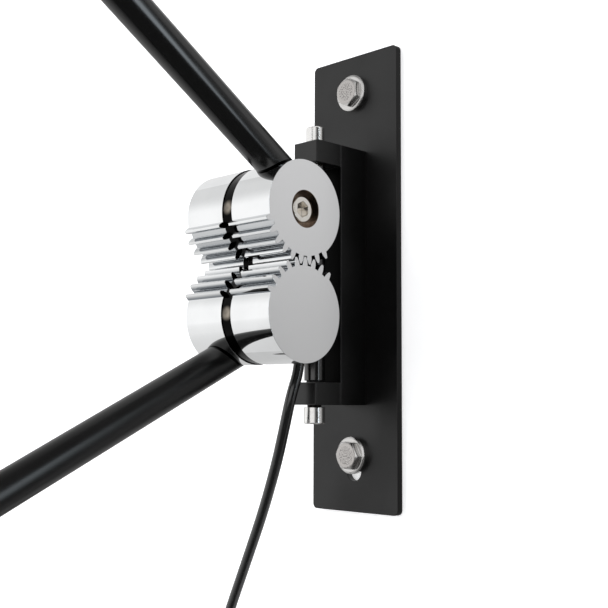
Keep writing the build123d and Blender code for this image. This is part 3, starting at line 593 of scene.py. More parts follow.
@dataclass(frozen=True)
class PivotSteel(TurnedMetal):
    """Polished screw steel with painted shadow on the neck between the lower head and the bracket."""

    neck: float = -73.55 * MM
    neck_fade: Range = (0.65 * MM, 0.80 * MM)
    # painted shadow on the neck between the lower head and the bracket
    painted_shadow: Colour = (0.012, 0.011, 0.010)

    def marked(self, sheet: NodeSheet, colour: Socket) -> Socket:
        """Paints shadow on the neck."""
        neck = sheet.ramp(sheet.away("Z", self.neck), *self.neck_fade, 1.0, 0.0)
        return sheet.blend(neck, colour, self.painted_shadow)


@dataclass(frozen=True)
class GearChrome:
    """Polished chrome on a gear's rim and teeth, satin end faces and a dark counterbore, with painted shade
    in the tooth valleys and in the middle groove.
    """

    name: str
    centre: Point
    counterbored: bool = False
    rim: Colour = (0.94, 0.95, 0.955)
    rim_tone: float = 0.96
    face: Colour = (0.86, 0.86, 0.868)
    face_tone: float = 0.93
    face_range: Range = (0.90, 0.98)
    bore: Colour = (0.52, 0.45, 0.395)
    bore_fade: Range = (9.9 * MM, 10.0 * MM)
    # painted shade on the end faces inside the middle groove
    groove_shade: Colour = (0.02, 0.02, 0.021)
    groove_fade: Range = (4.5 * MM, 4.8 * MM)
    # painted shade in the tooth valleys, set by the radius from the axle
    valley_shade: Colour = (0.13, 0.15, 0.175)
    valley_shade_share: Levels = (
        (24.4 * MM, 0.36), (25.0 * MM, 0.90), (25.7 * MM, 0.95), (25.75 * MM, 0.0), (26.1 * MM, 0.0),
        (26.2 * MM, 0.92), (27.4 * MM, 0.70), (28.5 * MM, 0.15), (29.1 * MM, 0.0),
    )
    # the painted valley shade is strongest on flanks that face down
    shade_range: Range = (-0.75, 0.1)
    shade_least: float = 0.45
    rim_roughness: float = 0.035
    face_roughness: float = 0.24
    bore_roughness: float = 0.22
    blotch_roughness: float = 0.015
    blotch: float = 15.0 * MM
    edge: float = 0.3 * MM
    edge_colour: Colour = (0.9, 0.91, 0.93)
    edge_share: float = 0.8
    pitch: float = 0.25 * MM
    depth: float = 0.004 * MM
    strength: float = 0.3

    def make(self, effects: Effects) -> Material:
        """Builds the finish's material.

        Args:
            effects: the node groups that finishes share.

        Returns:
            The material.
        """
        material, sheet, shader = new_material(self.name)
        facing = sheet.add("ShaderNodeSeparateXYZ", {0: sheet.add("ShaderNodeTexCoord").outputs["Normal"]})
        face = sheet.ramp(sheet.calc("ABSOLUTE", facing.outputs["X"]), *self.face_range, 0.0, 1.0)
        middle = sheet.ramp(sheet.away("X", 0.0), *self.groove_fade, 1.0, 0.0)
        rings = sheet.group(effects.turning, {"Centre": self.centre, "Axis": AXIS_X, "Pitch": self.pitch})
        grain = sheet.group(effects.grain, {"Blotch Size": self.blotch})
        edges = sheet.group(effects.edges, {"Radius": self.edge})
        shade = sheet.ramp(grain["Blotch"], *NOISE_MIDDLE, 0.0, 1.0)
        plated = sheet.blend(shade, self.rim, darker(self.rim, self.rim_tone))
        lined = sheet.blend(rings["Height"], self.face, darker(self.face, self.face_tone))
        shaded = sheet.ramp(facing.outputs["Z"], *self.shade_range, 1.0, self.shade_least)
        # painted shade in the tooth valleys
        shaded_valleys = sheet.calc("MULTIPLY", sheet.stops(rings["Radius"], self.valley_shade_share), shaded)
        edge = sheet.calc("MULTIPLY", edges["Edge"], self.edge_share)
        colour = sheet.blend(face, sheet.blend(shaded_valleys, plated, self.valley_shade), lined)
        colour = sheet.blend(edge, colour, self.edge_colour)
        # painted shade on the end faces in the groove
        colour = sheet.blend(sheet.calc("MULTIPLY", middle, face), colour, self.groove_shade)
        rough = sheet.ramp(face, 0.0, 1.0, self.rim_roughness, self.face_roughness)
        if self.counterbored:
            bore = sheet.ramp(rings["Radius"], *self.bore_fade, 1.0, 0.0)
            colour = sheet.blend(bore, colour, self.bore)
            rough = sheet.between(bore, rough, self.bore_roughness)
        rough = sheet.calc("ADD", rough, sheet.calc("MULTIPLY", shade, self.blotch_roughness))
        bump = sheet.surface(self, shader, colour, rough, sheet.calc("MULTIPLY", rings["Height"], face))
        sheet.feed(bump.inputs["Normal"], edges["Normal"])
        shader.inputs["Metallic"].default_value = 1.0
        return material


@dataclass(frozen=True)
class OpalPlastic:
    """Milky diffuser plastic with a faint cloudiness."""

    name: str
    colour: Colour = (0.86, 0.86, 0.84)
    cloud_tone: float = 0.94
    grain: float = 0.8 * MM
    blotch: float = 20.0 * MM
    roughness: Range = (0.3, 0.4)
    depth: float = 0.01 * MM
    strength: float = 0.3
    scatter: float = 0.3
    scatter_radius: Point = (4.0 * MM, 4.0 * MM, 4.0 * MM)

    def make(self, effects: Effects) -> Material:
        """Builds the finish's material.

        Args:
            effects: the node groups that finishes share.

        Returns:
            The material.
        """
        material, sheet, shader = new_material(self.name)
        grain = sheet.group(effects.grain, {"Grain Size": self.grain, "Blotch Size": self.blotch})
        cloudy = sheet.blend(grain["Blotch"], self.colour, darker(self.colour, self.cloud_tone))
        rough = sheet.ramp(grain["Blotch"], *NOISE_MIDDLE, *self.roughness)
        sheet.surface(self, shader, cloudy, rough, grain["Height"])
        shader.inputs["Subsurface Weight"].default_value = self.scatter
        shader.inputs["Subsurface Radius"].default_value = self.scatter_radius
        return material


@dataclass(frozen=True)
class Webbing:
    """Woven strap with fine ribs across and along it."""

    name: str
    colour: Colour = (0.012, 0.012, 0.0125)
    raised: Colour = (0.03, 0.03, 0.031)
    rib: float = 0.7 * MM
    grain: float = 0.3 * MM
    blotch: float = 4.0 * MM
    fuzz: float = 0.3
    roughness: Range = (0.7, 0.85)
    depth: float = 0.2 * MM
    strength: float = 0.8

    def make(self, effects: Effects) -> Material:
        """Builds the finish's material.

        Args:
            effects: the node groups that finishes share.

        Returns:
            The material.
        """
        material, sheet, shader = new_material(self.name)
        grain = sheet.group(effects.grain, {"Grain Size": self.grain, "Blotch Size": self.blotch})
        ribs = []
        for axis in ("X", "Z"):
            wave = sheet.calc("SINE", sheet.calc("MULTIPLY", sheet.along(axis), 2 * math.pi / self.rib))
            ribs.append(sheet.calc("ADD", sheet.calc("MULTIPLY", wave, 0.5), 0.5))
        weave = sheet.calc("MAXIMUM", *ribs)
        height = sheet.calc("ADD", weave, sheet.calc("MULTIPLY", grain["Height"], self.fuzz))
        rough = sheet.ramp(grain["Blotch"], *NOISE_MIDDLE, *self.roughness)
        sheet.surface(self, shader, sheet.blend(weave, self.colour, self.raised), rough, height)
        return material


Finish = Paint | TurnedMetal | GearChrome | OpalPlastic | Webbing


class Workbench:
    """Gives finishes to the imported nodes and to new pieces."""

    def __init__(self) -> None:
        """Starts with the shared effects and no material made yet."""
        self.effects = Effects()
        self.made: dict[str, Material] = {}

    def material(self, finish: Finish) -> Material:
        """Makes a finish's material, once.

        Args:
            finish: the finish.

        Returns:
            Its material.
        """
        if finish.name not in self.made:
            self.made[finish.name] = finish.make(self.effects)
        return self.made[finish.name]

    def dress(self, finish: Finish, *nodes: str) -> None:
        """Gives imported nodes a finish.

        Args:
            finish: the finish.
            nodes: the nodes' names.
        """
        for name in nodes:
            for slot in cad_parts[name].material_slots:
                slot.material = self.material(finish)
            LOG.info("dressed %s in %s", name, finish.name)

    def coat(self, piece: Piece, finish: Finish) -> None:
        """Gives a new piece a finish and logs it.

        Args:
            piece: the new piece.
            finish: its finish.
        """
        piece.data.materials.append(self.material(finish))
        LOG.info("built %s in %s", piece.name, finish.name)


def mesh_object(name: str, points: list[Vector], faces: list[Face], smooth: bool = True) -> Piece:
    """Makes a mesh object from points and faces.

    Args:
        name: the piece's name.
        points: the vertices, in metres.
        faces: each face as indices of its vertices.
        smooth: whether the faces are shaded smooth.

    Returns:
        The new object, in the scene.
    """
    mesh = bpy.data.meshes.new(name)
    mesh.from_pydata([tuple(point) for point in points], [], faces)
    mesh.polygons.foreach_set("use_smooth", [smooth] * len(faces))
    mesh.update()
    piece = bpy.data.objects.new(name, mesh)
    bpy.context.scene.collection.objects.link(piece)
    return piece


def sweep_tube(name: str, path: list[Vector], radius: float, sides: int) -> Piece:
    """Makes a closed round tube along a line of points.

    Args:
        name: the piece's name.
        path: the points that the tube follows.
        radius: the tube's radius.
        sides: how many points go round it.

    Returns:
        The new mesh object.
    """
    points: list[Vector] = []
    faces: list[Face] = []
    across = Vector(AXIS_X)
    for index, spot in enumerate(path):
        ahead = path[min(index + 1, len(path) - 1)] - path[max(index - 1, 0)]
        ahead.normalize()
        across = (across - ahead * across.dot(ahead)).normalized()
        other = ahead.cross(across)
        for side in range(sides):
            angle = 2 * math.pi * side / sides
            points.append(spot + (across * math.cos(angle) + other * math.sin(angle)) * radius)
    for ring in range(len(path) - 1):
        for side in range(sides):
            near, far = ring * sides, (ring + 1) * sides
            step = (side + 1) % sides
            faces.append((near + side, near + step, far + step, far + side))
    faces.append(tuple(reversed(range(sides))))
    faces.append(tuple(range((len(path) - 1) * sides, len(path) * sides)))
    return mesh_object(name, points, faces)


@dataclass
class StudioCamera:
    """Camera at the picture's own place and angle."""

    place: Point = (0.408992, -0.460218, -0.073230)
    azimuth: float = 45.3097
    pitch: float = 4.9709
    roll: float = 0.3043
    lens: float = 62.277
    sensor: float = 36.0
    shift: Range = (0.02132, 0.01633)
    clip: Range = (0.01, 50.0)

    def build(self) -> None:
        """Makes the camera the scene's own."""
        turn, lift, lean = (math.radians(angle) for angle in (self.azimuth, self.pitch, self.roll))
        level = Vector((math.cos(turn), math.sin(turn), 0.0))
        ahead = Vector((-math.sin(turn) * math.cos(lift), math.cos(turn) * math.cos(lift), math.sin(lift)))
        upright = level.cross(ahead)
        right = level * math.cos(lean) + upright * math.sin(lean)
        up = upright * math.cos(lean) - level * math.sin(lean)
        data = bpy.data.cameras.new("studio_camera")
        data.lens, data.sensor_width = self.lens, self.sensor
        data.shift_x, data.shift_y = self.shift
        data.clip_start, data.clip_end = self.clip
        camera = bpy.data.objects.new("studio_camera", data)
        turned = Matrix((right, up, -ahead)).transposed().to_4x4()
        camera.matrix_world = Matrix.Translation(self.place) @ turned
        bpy.context.scene.collection.objects.link(camera)
        bpy.context.scene.camera = camera


@dataclass
class Softbox:
    """Broad soft lamp that looks at the gear joint."""

    name: str
    place: Point
    size: Range
    power: float
    aim: Point = (0.0, -0.06, 0.0)

    def build(self) -> None:
        """Adds the lamp to the scene."""
        data = bpy.data.lights.new(self.name, "AREA")
        data.shape = "RECTANGLE"
        data.size, data.size_y = self.size
        data.energy = self.power
        lamp = bpy.data.objects.new(self.name, data)
        lamp.location = self.place
        lamp.rotation_mode = "QUATERNION"
        lamp.rotation_quaternion = (Vector(self.aim) - Vector(self.place)).to_track_quat("-Z", "Y")
        lamp.visible_glossy = False
        bpy.context.scene.collection.objects.link(lamp)


@dataclass
class Studio:
    """White wall, pale floor, soft lamps and a plain world."""

    wall_gap: float = 0.6 * MM
    floor_height: float = -0.66
    paper_half: float = 4.0
    wall_colour: Colour = (0.88, 0.885, 0.90)
    floor_colour: Colour = grey(0.80)
    fibre_scale: float = 900.0
    fibre_tone: float = 0.985
    paper_glow: float = 0.52
    wall_mirrored: Levels = (
        (-4.0, 0.72), (-0.12, 0.72), (0.0, 0.90), (0.033, 0.20), (0.06, 0.42),
        (0.09, 0.64), (0.15, 0.64), (0.24, 0.30), (0.40, 0.10),
    )
    floor_mirrored: Levels = ((-4.0, 1.0), (-1.3, 0.85), (-0.65, 0.68), (-0.42, 0.55), (-0.10, 0.10))
    rise_between: Range = (-0.10, 0.12)
    rise_levels: Range = (0.78, 1.16)
    strip_level: float = 4.2
    strip_start: Range = (0.36, 0.54)
    strip_height: float = 0.05
    strip_fade: Range = (0.16, 0.32)
    strip_tint: Colour = (0.84, 0.93, 1.0)
    world_light: float = 0.62
    dark_corner: Point = (0.98, -0.18, 0.0)
    dark_fade: Range = (0.76, 0.93)
    dark_level: float = 0.05
    ceiling_fade: Range = (0.22, 0.58)
    ceiling_level: float = 0.72
    zenith_fade: Range = (0.66, 0.85)
    zenith_level: float = 0.35
    softboxes: tuple[Softbox, ...] = (
        Softbox("front_softbox", (-0.95, -1.05, 0.45), (1.2, 1.2), 12.0),
        Softbox("top_softbox", (-0.25, -0.75, 1.25), (1.2, 0.9), 5.0),
    )

    def build(self) -> None:
        """Builds everything round the object that isn't part of it."""
        upright = [(-1, 0, -1), (1, 0, -1), (1, 0, 1), (-1, 0, 1)]
        level = [(-1, -1, 0), (1, -1, 0), (1, 1, 0), (-1, 1, 0)]
        wall = self.plane("studio_wall", upright, Vector((0.0, self.wall_gap, 0.0)))
        floor = self.plane("studio_floor", level, Vector((0.0, 0.0, self.floor_height)))
        wall_paper = self.paper("wall_paper", self.wall_colour, self.wall_mirrored, open_back=True)
        floor_paper = self.paper("floor_paper", self.floor_colour, self.floor_mirrored, open_back=False)
        wall.data.materials.append(wall_paper)
        floor.data.materials.append(floor_paper)
        for softbox in self.softboxes:
            softbox.build()
        self.build_world()

    def plane(self, name: str, corners: list[Point], middle: Vector) -> Piece:
        """Makes one large flat sheet from its four corners."""
        points = [Vector(corner) * self.paper_half + middle for corner in corners]
        return mesh_object(name, points, [(0, 1, 2, 3)], False)

    def paper(self, name: str, colour: Colour, mirrored: Levels, open_back: bool) -> Material:
        """Makes matt paper that looks white and keeps shadows, and is shaded on the right in reflections.

        Args:
            name: the material's name.
            colour: the paper's colour.
            mirrored: its brightness in reflections, by the place along X.
            open_back: whether the sheet can be looked through from behind.

        Returns:
            The material.
        """
        material, sheet, shader = new_material(name)
        material.node_tree.nodes.remove(shader)
        end = material.node_tree.nodes["Material Output"]
        fibres = sheet.add("ShaderNodeTexNoise", {"Scale": self.fibre_scale, "Detail": 2.0})
        tone = sheet.blend(fibres.outputs["Fac"], colour, darker(colour, self.fibre_tone))
        matt = sheet.add("ShaderNodeBsdfDiffuse", {"Color": tone})
        rays = sheet.add("ShaderNodeLightPath")
        glow_level = sheet.calc("MULTIPLY", sheet.looked_at(rays), self.paper_glow)
        glow = sheet.add("ShaderNodeEmission", {"Strength": glow_level})
        lit = sheet.add("ShaderNodeAddShader", {0: matt.outputs[0], 1: glow.outputs[0]})
        level = sheet.stops(sheet.along("X"), mirrored)
        image = sheet.add("ShaderNodeEmission", {"Strength": level})
        if open_back:
            rise = sheet.ramp(sheet.along("Z"), *self.rise_between, *self.rise_levels)
            sheet.feed(image.inputs["Strength"], sheet.calc("MULTIPLY", level, rise))
            strip_feeds = {"Color": rgba(self.strip_tint), "Strength": self.strip(sheet)}
            strip = sheet.add("ShaderNodeEmission", strip_feeds)
            image = sheet.add("ShaderNodeAddShader", {0: image.outputs[0], 1: strip.outputs[0]})
        surface = sheet.shaders(rays.outputs["Is Glossy Ray"], lit, image)
        if open_back:
            behind = sheet.add("ShaderNodeNewGeometry").outputs["Backfacing"]
            surface = sheet.shaders(behind, surface, sheet.add("ShaderNodeBsdfTransparent"))
        sheet.feed(end.inputs["Surface"], surface.outputs[0])
        return material

    def strip(self, sheet: NodeSheet) -> Socket:
        """Gives the level of a long strip light far to the right, which only reflections show.

        Args:
            sheet: the wall paper's sheet.

        Returns:
            The level.
        """
        along = sheet.ramp(sheet.along("X"), *self.strip_start, 0.0, self.strip_level)
        away = sheet.away("Z", self.strip_height)
        return sheet.calc("MULTIPLY", along, sheet.ramp(away, *self.strip_fade, 1.0, 0.0))

    def build_world(self) -> None:
        """Makes an even soft light whose mirror image dims overhead and has one dark corner."""
        world = bpy.data.worlds.new("studio_world")
        world.use_nodes = True
        bpy.context.scene.world = world
        sheet = NodeSheet(world.node_tree)
        toward = sheet.add("ShaderNodeTexCoord").outputs["Generated"]
        corner = sheet.vector("DOT_PRODUCT", toward, self.dark_corner).outputs["Value"]
        height = sheet.add("ShaderNodeSeparateXYZ", {0: toward}).outputs["Z"]
        lit_side = sheet.ramp(corner, *self.dark_fade, 1.0, self.dark_level)
        ceiling = sheet.ramp(height, *self.ceiling_fade, 1.0, self.ceiling_level)
        zenith = sheet.ramp(height, *self.zenith_fade, 1.0, self.zenith_level)
        level = sheet.calc("MULTIPLY", sheet.calc("MULTIPLY", ceiling, zenith), lit_side)
        white = rgba(grey(1.0))
        plain = world.node_tree.nodes["Background"]
        sheet.feed(plain.inputs["Color"], white)
        sheet.feed(plain.inputs["Strength"], 1.0)
        soft = sheet.add("ShaderNodeBackground", {"Color": white, "Strength": self.world_light})
        mirrored = sheet.add("ShaderNodeBackground", {"Color": white, "Strength": level})
        rays = sheet.add("ShaderNodeLightPath")
        glossy = sheet.shaders(rays.outputs["Is Glossy Ray"], soft, mirrored)
        whole = sheet.shaders(sheet.looked_at(rays), glossy, plain)
        sheet.feed(world.node_tree.nodes["World Output"].inputs["Surface"], whole.outputs[0])


@dataclass
class CoilTie:
    """Woven strap round the put-away coil, with its loose end lapped over in front."""

    thick: float = 1.3 * MM
    corner: float = 2.2 * MM
    corner_steps: int = 6
    edge_round: float = 0.35 * MM
    crown: float = 1.06
    section_points: int = 7
    lap_length: float = 9.0 * MM
    lap_steps: int = 8
    lap_lift: float = 0.6 * MM
    lap_width: float = 0.94
    webbing: Webbing = Webbing("tie_webbing")

    def build(self, bench: Workbench) -> Piece:
        """Builds the strap in its solid's place.

        Args:
            bench: what dresses it.

        Returns:
            The strap.
        """
        low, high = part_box("coil_tie")
        half = (high.x - low.x) / 2
        loop = self.loop(low, high)
        middle = Vector(((low.x + high.x) / 2, 0.0, 0.0))
        points: list[Vector] = []
        faces: list[Face] = []
        for spot, outward in loop:
            points += self.section(middle + spot, outward, half)
        self.skin(faces, 0, len(loop), True)
        start = len(points)
        lap = self.lap(low, high)
        for spot, outward in lap:
            points += self.section(middle + spot, outward, half * self.lap_width)
        self.skin(faces, start, len(lap), False)
        strap = mesh_object("coil_tie_strap", points, faces)
        bench.coat(strap, self.webbing)
        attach(strap, Body.BRACKET.value)
        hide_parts("coil_tie")
        return strap

    def loop(self, low: Vector, high: Vector) -> list[tuple[Vector, Vector]]:
        """Gives the strap's middle line round the coil.

        Args:
            low: the lower corner of its solid's box.
            high: the upper corner of that box.

        Returns:
            The points, each with its outward direction.
        """
        inset = self.thick / 2 + self.corner
        ends = {"y": (high.y - inset, low.y + inset), "z": (high.z - inset, low.z + inset)}
        spots = []
        for quarter, (end_y, end_z) in enumerate(((0, 0), (1, 0), (1, 1), (0, 1))):
            centre = Vector((0.0, ends["y"][end_y], ends["z"][end_z]))
            for step in range(self.corner_steps + 1):
                angle = math.radians(90 * quarter + 90 * step / self.corner_steps)
                outward = Vector((0.0, math.cos(angle), math.sin(angle)))
                spots.append((centre + outward * self.corner, outward))
        return spots

    def lap(self, low: Vector, high: Vector) -> list[tuple[Vector, Vector]]:
        """Gives the middle line of the loose end, which lies on the strap's front and lifts at its tip.

        Args:
            low: the lower corner of its solid's box.
            high: the upper corner of that box.

        Returns:
            The points, each with its outward direction.
        """
        outward = Vector((0.0, -1.0, 0.0))
        top = high.z - self.corner - self.thick
        spots = []
        for step in range(self.lap_steps + 1):
            share = step / self.lap_steps
            lift = self.thick / 2 + self.lap_lift * share**3
            spots.append((Vector((0.0, low.y - lift, top - self.lap_length * share)), outward))
        return spots

    def section(self, spot: Vector, outward: Vector, half: float) -> list[Vector]:
        """Gives the strap's cross-section at one point: flat, with rounded edges.

        Args:
            spot: the point on the middle line.
            outward: the direction away from the coil.
            half: half the strap's width.

        Returns:
            The section's corners.
        """
        across, deep = Vector(AXIS_X), self.thick / 2
        inner = half - self.edge_round
        outer = [(-half, 0.0), (-inner, deep), (0.0, deep * self.crown), (inner, deep), (half, 0.0)]
        outline = [*outer, (inner, -deep), (-inner, -deep)]
        return [spot + across * wide + outward * rise for wide, rise in outline]

    def skin(self, faces: list[Face], start: int, rings: int, closed: bool) -> None:
        """Joins cross-sections into a skin.

        Args:
            faces: the list that the new faces go into.
            start: the index of the first cross-section's first point.
            rings: how many cross-sections there are.
            closed: whether the last one joins the first.
        """
        sides = self.section_points
        for ring in range(rings if closed else rings - 1):
            near, far = start + ring * sides, start + (ring + 1) % rings * sides
            for side in range(sides):
                step = (side + 1) % sides
                faces.append((near + side, far + side, far + step, near + step))
        if not closed:
            faces.append(tuple(start + side for side in range(sides)))
            faces.append(tuple(start + (rings - 1) * sides + side for side in reversed(range(sides))))


@dataclass
class MainsCord:
    """Mains cord from its gland, down past the picture's edge, through its tied coil to the plug."""

    diameter: float = 6.0 * MM
    length: float = 1.904
    sides: int = 16
    steps: int = 6
    route: tuple[Point, ...] = (
        (0.0, -0.0485, -0.0392), (0.0, -0.0485, -0.0522), (-0.0010, -0.0542, -0.0676),
        (-0.0063, -0.0543, -0.0863), (-0.0160, -0.0505, -0.1056), (-0.0333, -0.0441, -0.1336),
        (-0.0540, -0.0373, -0.1632), (-0.0764, -0.0300, -0.1950), (-0.0894, -0.0270, -0.2180),
        (-0.0950, -0.0250, -0.2440), (-0.0950, -0.0250, -0.2590),
    )
    coil_start: Point = (-0.0950, -0.0250, -0.2650)
    coil_radius: float = 47.5 * MM
    coil_pitch: float = 6.6 * MM
    coil_turns: int = 7
    points_per_half: int = 8
    lead: tuple[Point, ...] = (
        (-0.1016, -0.0316, -0.2710), (-0.1016, -0.0316, -0.2830), (-0.1000, -0.0310, -0.3010),
        (-0.0982, -0.0306, -0.3190), (-0.0982, -0.0306, -0.3330),
    )
    turn_start: Point = (0.0, -0.0485, -0.0390)
    turn_end: Point = (0.0, -0.0485, -0.0720)
    skin: Paint = Paint(
        "cord_skin", (0.006, 0.006, 0.0062), grey(0.012), 0.20, depth=0.003 * MM, spread=0.03, level=0.9
    )

    def coil_points(self) -> list[Point]:
        """Works out the coil's line: it spirals in, steps a layer forward and spirals out.

        Returns:
            The spline's points for it.
        """
        points = []
        start = Vector(self.coil_start)
        for half in range(2 * self.coil_turns):
            bend = self.coil_radius - (self.coil_turns - abs(half - self.coil_turns)) * self.coil_pitch / 2
            heading = -1 if half % 2 == 0 else 1
            step = -self.coil_pitch if half == self.coil_turns else 0.0
            reach = bend / math.cos(math.pi / (2 * self.points_per_half))
            for index in range(self.points_per_half):
                share = (index + 0.5) / self.points_per_half
                along = bend - reach * math.cos(math.pi * share)
                rise = reach * math.sin(math.pi * share)
                points.append(tuple(start + Vector((heading * along, step * share, heading * rise))))
            start = start + Vector((heading * 2 * bend, step, 0.0))
        return points

    def centre_line(self) -> list[Vector]:
        """Reads the cord's line off one smooth spline through its points.

        Returns:
            The line's points.
        """
        controls = [*self.route, *self.coil_points(), *self.lead]
        curve = bpy.data.curves.new("cord_line", "CURVE")
        curve.dimensions = "3D"
        spline = curve.splines.new("NURBS")
        spline.points.add(len(controls) - 1)
        for point, spot in zip(spline.points, controls):
            point.co = (*spot, 1.0)
        spline.order_u = 3
        spline.use_endpoint_u = True
        spline.resolution_u = self.steps
        guide = bpy.data.objects.new("cord_line", curve)
        bpy.context.scene.collection.objects.link(guide)
        bpy.context.view_layer.update()
        mesh = bpy.data.meshes.new_from_object(guide)
        line = [vertex.co.copy() for vertex in mesh.vertices]
        bpy.data.meshes.remove(mesh)
        bpy.data.objects.remove(guide)
        bpy.data.curves.remove(curve)
        return line

    def build(self, bench: Workbench, tie: Piece) -> None:
        """Builds the cord, dresses it and hides the solids that it stands in for.

        Args:
            bench: what dresses it.
            tie: the strap round its coil; not used.
        """
        line = self.centre_line()
        cord = sweep_tube("mains_cord", line, self.diameter / 2, self.sides)
        bench.coat(cord, self.skin)
        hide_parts("cord_stretch", "cord_coil", "plug_lead")
        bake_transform(cord)


@dataclass
class WallMount:
    """Wall plate with its bolts, C-shaped bracket and pivot screws."""

    plate: Paint = Paint("plate_paint", (0.0016, 0.0016, 0.0017), grey(0.006), 0.40, level=0.55)
    bracket: Paint = BracketPaint("bracket_paint", (0.0016, 0.0016, 0.0017), grey(0.008), 0.38, level=0.58)
    bolt: TurnedMetal = BoltSteel(
        "bolt_steel", (0.68, 0.67, 0.66), (0.52, 0.51, 0.49), 0.20,
        centre=(0.0, 0.0, 111.3 * MM), axis=AXIS_Y, edge=1.0 * MM,
    )
    pivot: TurnedMetal = PivotSteel(
        "polished_steel", (0.90, 0.89, 0.875), (0.80, 0.79, 0.77), 0.24,
        centre=(0.0, -37.0 * MM, 0.0), depth=0.0005 * MM,
    )
    hidden: TurnedMetal = TurnedMetal("hidden_steel", (0.55, 0.54, 0.52), (0.40, 0.39, 0.37), 0.35)

    def dress(self, bench: Workbench) -> None:
        """Gives the mount's nodes their finishes.

        Args:
            bench: what dresses them.
        """
        bench.dress(self.plate, "wall_plate")
        bench.dress(self.bracket, "c_bracket")
        bench.dress(self.bolt, "wall_bolts")
        bench.dress(self.pivot, "upper_pivot_screw", "lower_pivot_screw")
        bench.dress(self.hidden, "bracket_screws")


@dataclass
class SwivelJoint:
    """Swivelling post, carrier plate, bushes and cord gland."""

    post: Paint = Paint(
        "post_black", (0.004, 0.004, 0.0042), grey(0.01), 0.15, depth=0.004 * MM, spread=0.03, level=1.0
    )
    carrier: Paint = BlackenedSteel(
        "carrier_black", grey(0.002), grey(0.004), 0.20, spread=0.03, dust=0.0,
        glint_places=((0.0, -102.7 * MM, 29.7 * MM), (0.0, -102.7 * MM, -25.9 * MM)),
    )
    gland: Paint = Paint("gland_black", grey(0.014), grey(0.04), 0.45, grain=0.3 * MM)
    bush: TurnedMetal = TurnedMetal("bush_bronze", (0.55, 0.37, 0.20), (0.38, 0.25, 0.14), 0.35)
    washer: Paint = Paint("washer_nylon", grey(0.008), grey(0.015), 0.5)

    def dress(self, bench: Workbench) -> None:
        """Gives the joint's nodes their finishes.

        Args:
            bench: what dresses them.
        """
        bench.dress(self.post, "swivel_post")
        bench.dress(self.carrier, "gear_carrier")
        bench.dress(self.gland, "cord_gland")
        bench.dress(self.bush, "upper_pivot_bush", "lower_pivot_bush", "upper_gear_bush", "lower_gear_bush")
        bench.dress(self.washer, "thrust_washer")


@dataclass
class GearPair:
    """Two gears of two halves each, with their axle screws, pins and set screws."""

    axles: dict[str, Range] = field(default_factory=lambda: AXLES)

    def dress(self, bench: Workbench) -> None:
        """Gives the gears' nodes their finishes, each turned about its own axle.

        Args:
            bench: what dresses them.
        """
        for level, axle in self.axles.items():
            centre = (0.0, *axle)
            turned = {"centre": centre, "axis": AXIS_X}
            bored = GearChrome(f"{level}_arm_gear_chrome", centre, counterbored=True)
            plain = GearChrome(f"{level}_hub_gear_chrome", centre)
            nickel = TurnedMetal(
                f"{level}_axle_nickel", (0.80, 0.77, 0.72), (0.58, 0.53, 0.46), 0.12, **turned
            )
            pin = TurnedMetal(f"{level}_pin_steel", (0.6, 0.59, 0.57), (0.45, 0.44, 0.42), 0.3, **turned)
            small = Paint(f"{level}_small_screw_black", grey(0.02), grey(0.08), 0.35)
            bench.dress(bored, f"{level}_arm_gear")
            bench.dress(plain, f"{level}_hub_gear")
            bench.dress(nickel, f"{level}_axle_screw")
            bench.dress(pin, f"{level}_drive_pins")
            bench.dress(small, f"{level}_arm_set_screw")


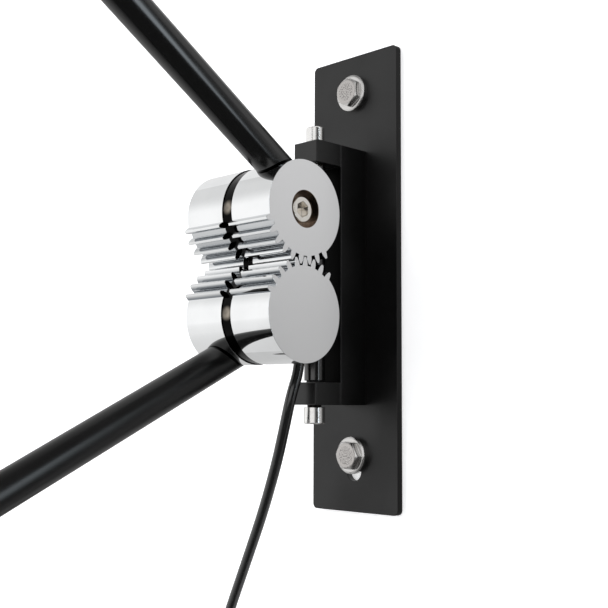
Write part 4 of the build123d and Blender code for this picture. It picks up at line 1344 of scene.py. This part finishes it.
@dataclass
class Arms:
    """Weight arm and lamp arm with what they carry."""

    upper: Paint = ArmPaint(
        "upper_arm_black", (0.0022, 0.0022, 0.0024), grey(0.008), 0.20,
        depth=0.002 * MM, spread=0.02, level=0.62, axle=AXLES["upper"],
    )
    lower: Paint = ArmPaint(
        "lower_arm_black", (0.0038, 0.0036, 0.0036), grey(0.008), 0.30,
        depth=0.002 * MM, spread=0.02, level=0.42, axle=AXLES["lower"],
    )
    weight: Paint = Paint("weight_black", (0.005, 0.005, 0.0052), (0.02, 0.02, 0.021), 0.34)
    screw: Paint = Paint("small_screw_black", grey(0.02), grey(0.08), 0.35)
    pin: TurnedMetal = TurnedMetal("hinge_steel", (0.68, 0.67, 0.65), (0.52, 0.51, 0.49), 0.2, axis=AXIS_X)
    lead: Paint = Paint("lead_black", grey(0.012), grey(0.03), 0.4)

    def dress(self, bench: Workbench) -> None:
        """Gives the arms' nodes their finishes.

        Args:
            bench: what dresses them.
        """
        bench.dress(self.upper, "upper_arm_tube", "upper_arm_cap")
        bench.dress(self.lower, "lower_arm_tube", "arm_fork")
        bench.dress(self.weight, "counterweight")
        bench.dress(self.screw, "counterweight_screw")
        bench.dress(self.pin, "hinge_pin")
        bench.dress(self.lead, "arm_lead")


@dataclass
class LampHead:
    """Flat round lamp head with its lug, diffuser and switch."""

    shell: Paint = Paint("head_black", (0.005, 0.005, 0.0052), (0.02, 0.02, 0.021), 0.33, grain=0.6 * MM)
    screw: Paint = Paint("head_screw_black", grey(0.02), grey(0.08), 0.35)
    board: Paint = Paint("board_white", (0.75, 0.75, 0.72), (0.6, 0.55, 0.35), 0.4)
    switch: Paint = Paint("switch_black", (0.016, 0.016, 0.017), grey(0.05), 0.45, grain=0.3 * MM)
    opal: OpalPlastic = OpalPlastic("diffuser_opal")

    def dress(self, bench: Workbench) -> None:
        """Gives the head's nodes their finishes.

        Args:
            bench: what dresses them.
        """
        bench.dress(self.shell, "head_lug", "head_housing", "diffuser_ring")
        bench.dress(self.screw, "lug_screws", "board_screws")
        bench.dress(self.board, "led_board")
        bench.dress(self.opal, "diffuser")
        bench.dress(self.switch, "switch_body", "switch_button")


@dataclass
class PlugEnd:
    """Flat two-pin plug."""

    body: Paint = Paint("plug_black", (0.014, 0.014, 0.0145), grey(0.04), 0.42, grain=0.3 * MM)
    pins: TurnedMetal = TurnedMetal("plug_pin_nickel", (0.72, 0.70, 0.66), (0.58, 0.56, 0.52), 0.18)

    def dress(self, bench: Workbench) -> None:
        """Gives the plug's nodes their finishes."""
        bench.dress(self.body, "plug_body")
        bench.dress(self.pins, "plug_pins")


def corners(box: tuple[Vector, Vector]) -> list[list[float]]:
    """Turns a box's two corners into plain lists."""
    return [list(corner) for corner in box]


def main() -> None:
    """Builds and dresses the lamp."""
    logging.basicConfig(level=logging.INFO, format="%(message)s")
    bpy.context.scene.view_settings.view_transform = "Standard"
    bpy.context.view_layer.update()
    bench = Workbench()
    StudioCamera().build()
    MainsCord().build(bench, CoilTie().build(bench))
    for assembly in (WallMount(), SwivelJoint(), GearPair(), Arms(), LampHead(), PlugEnd()):
        assembly.dress(bench)
    Studio().build()


if __name__ == "__main__":
    main()
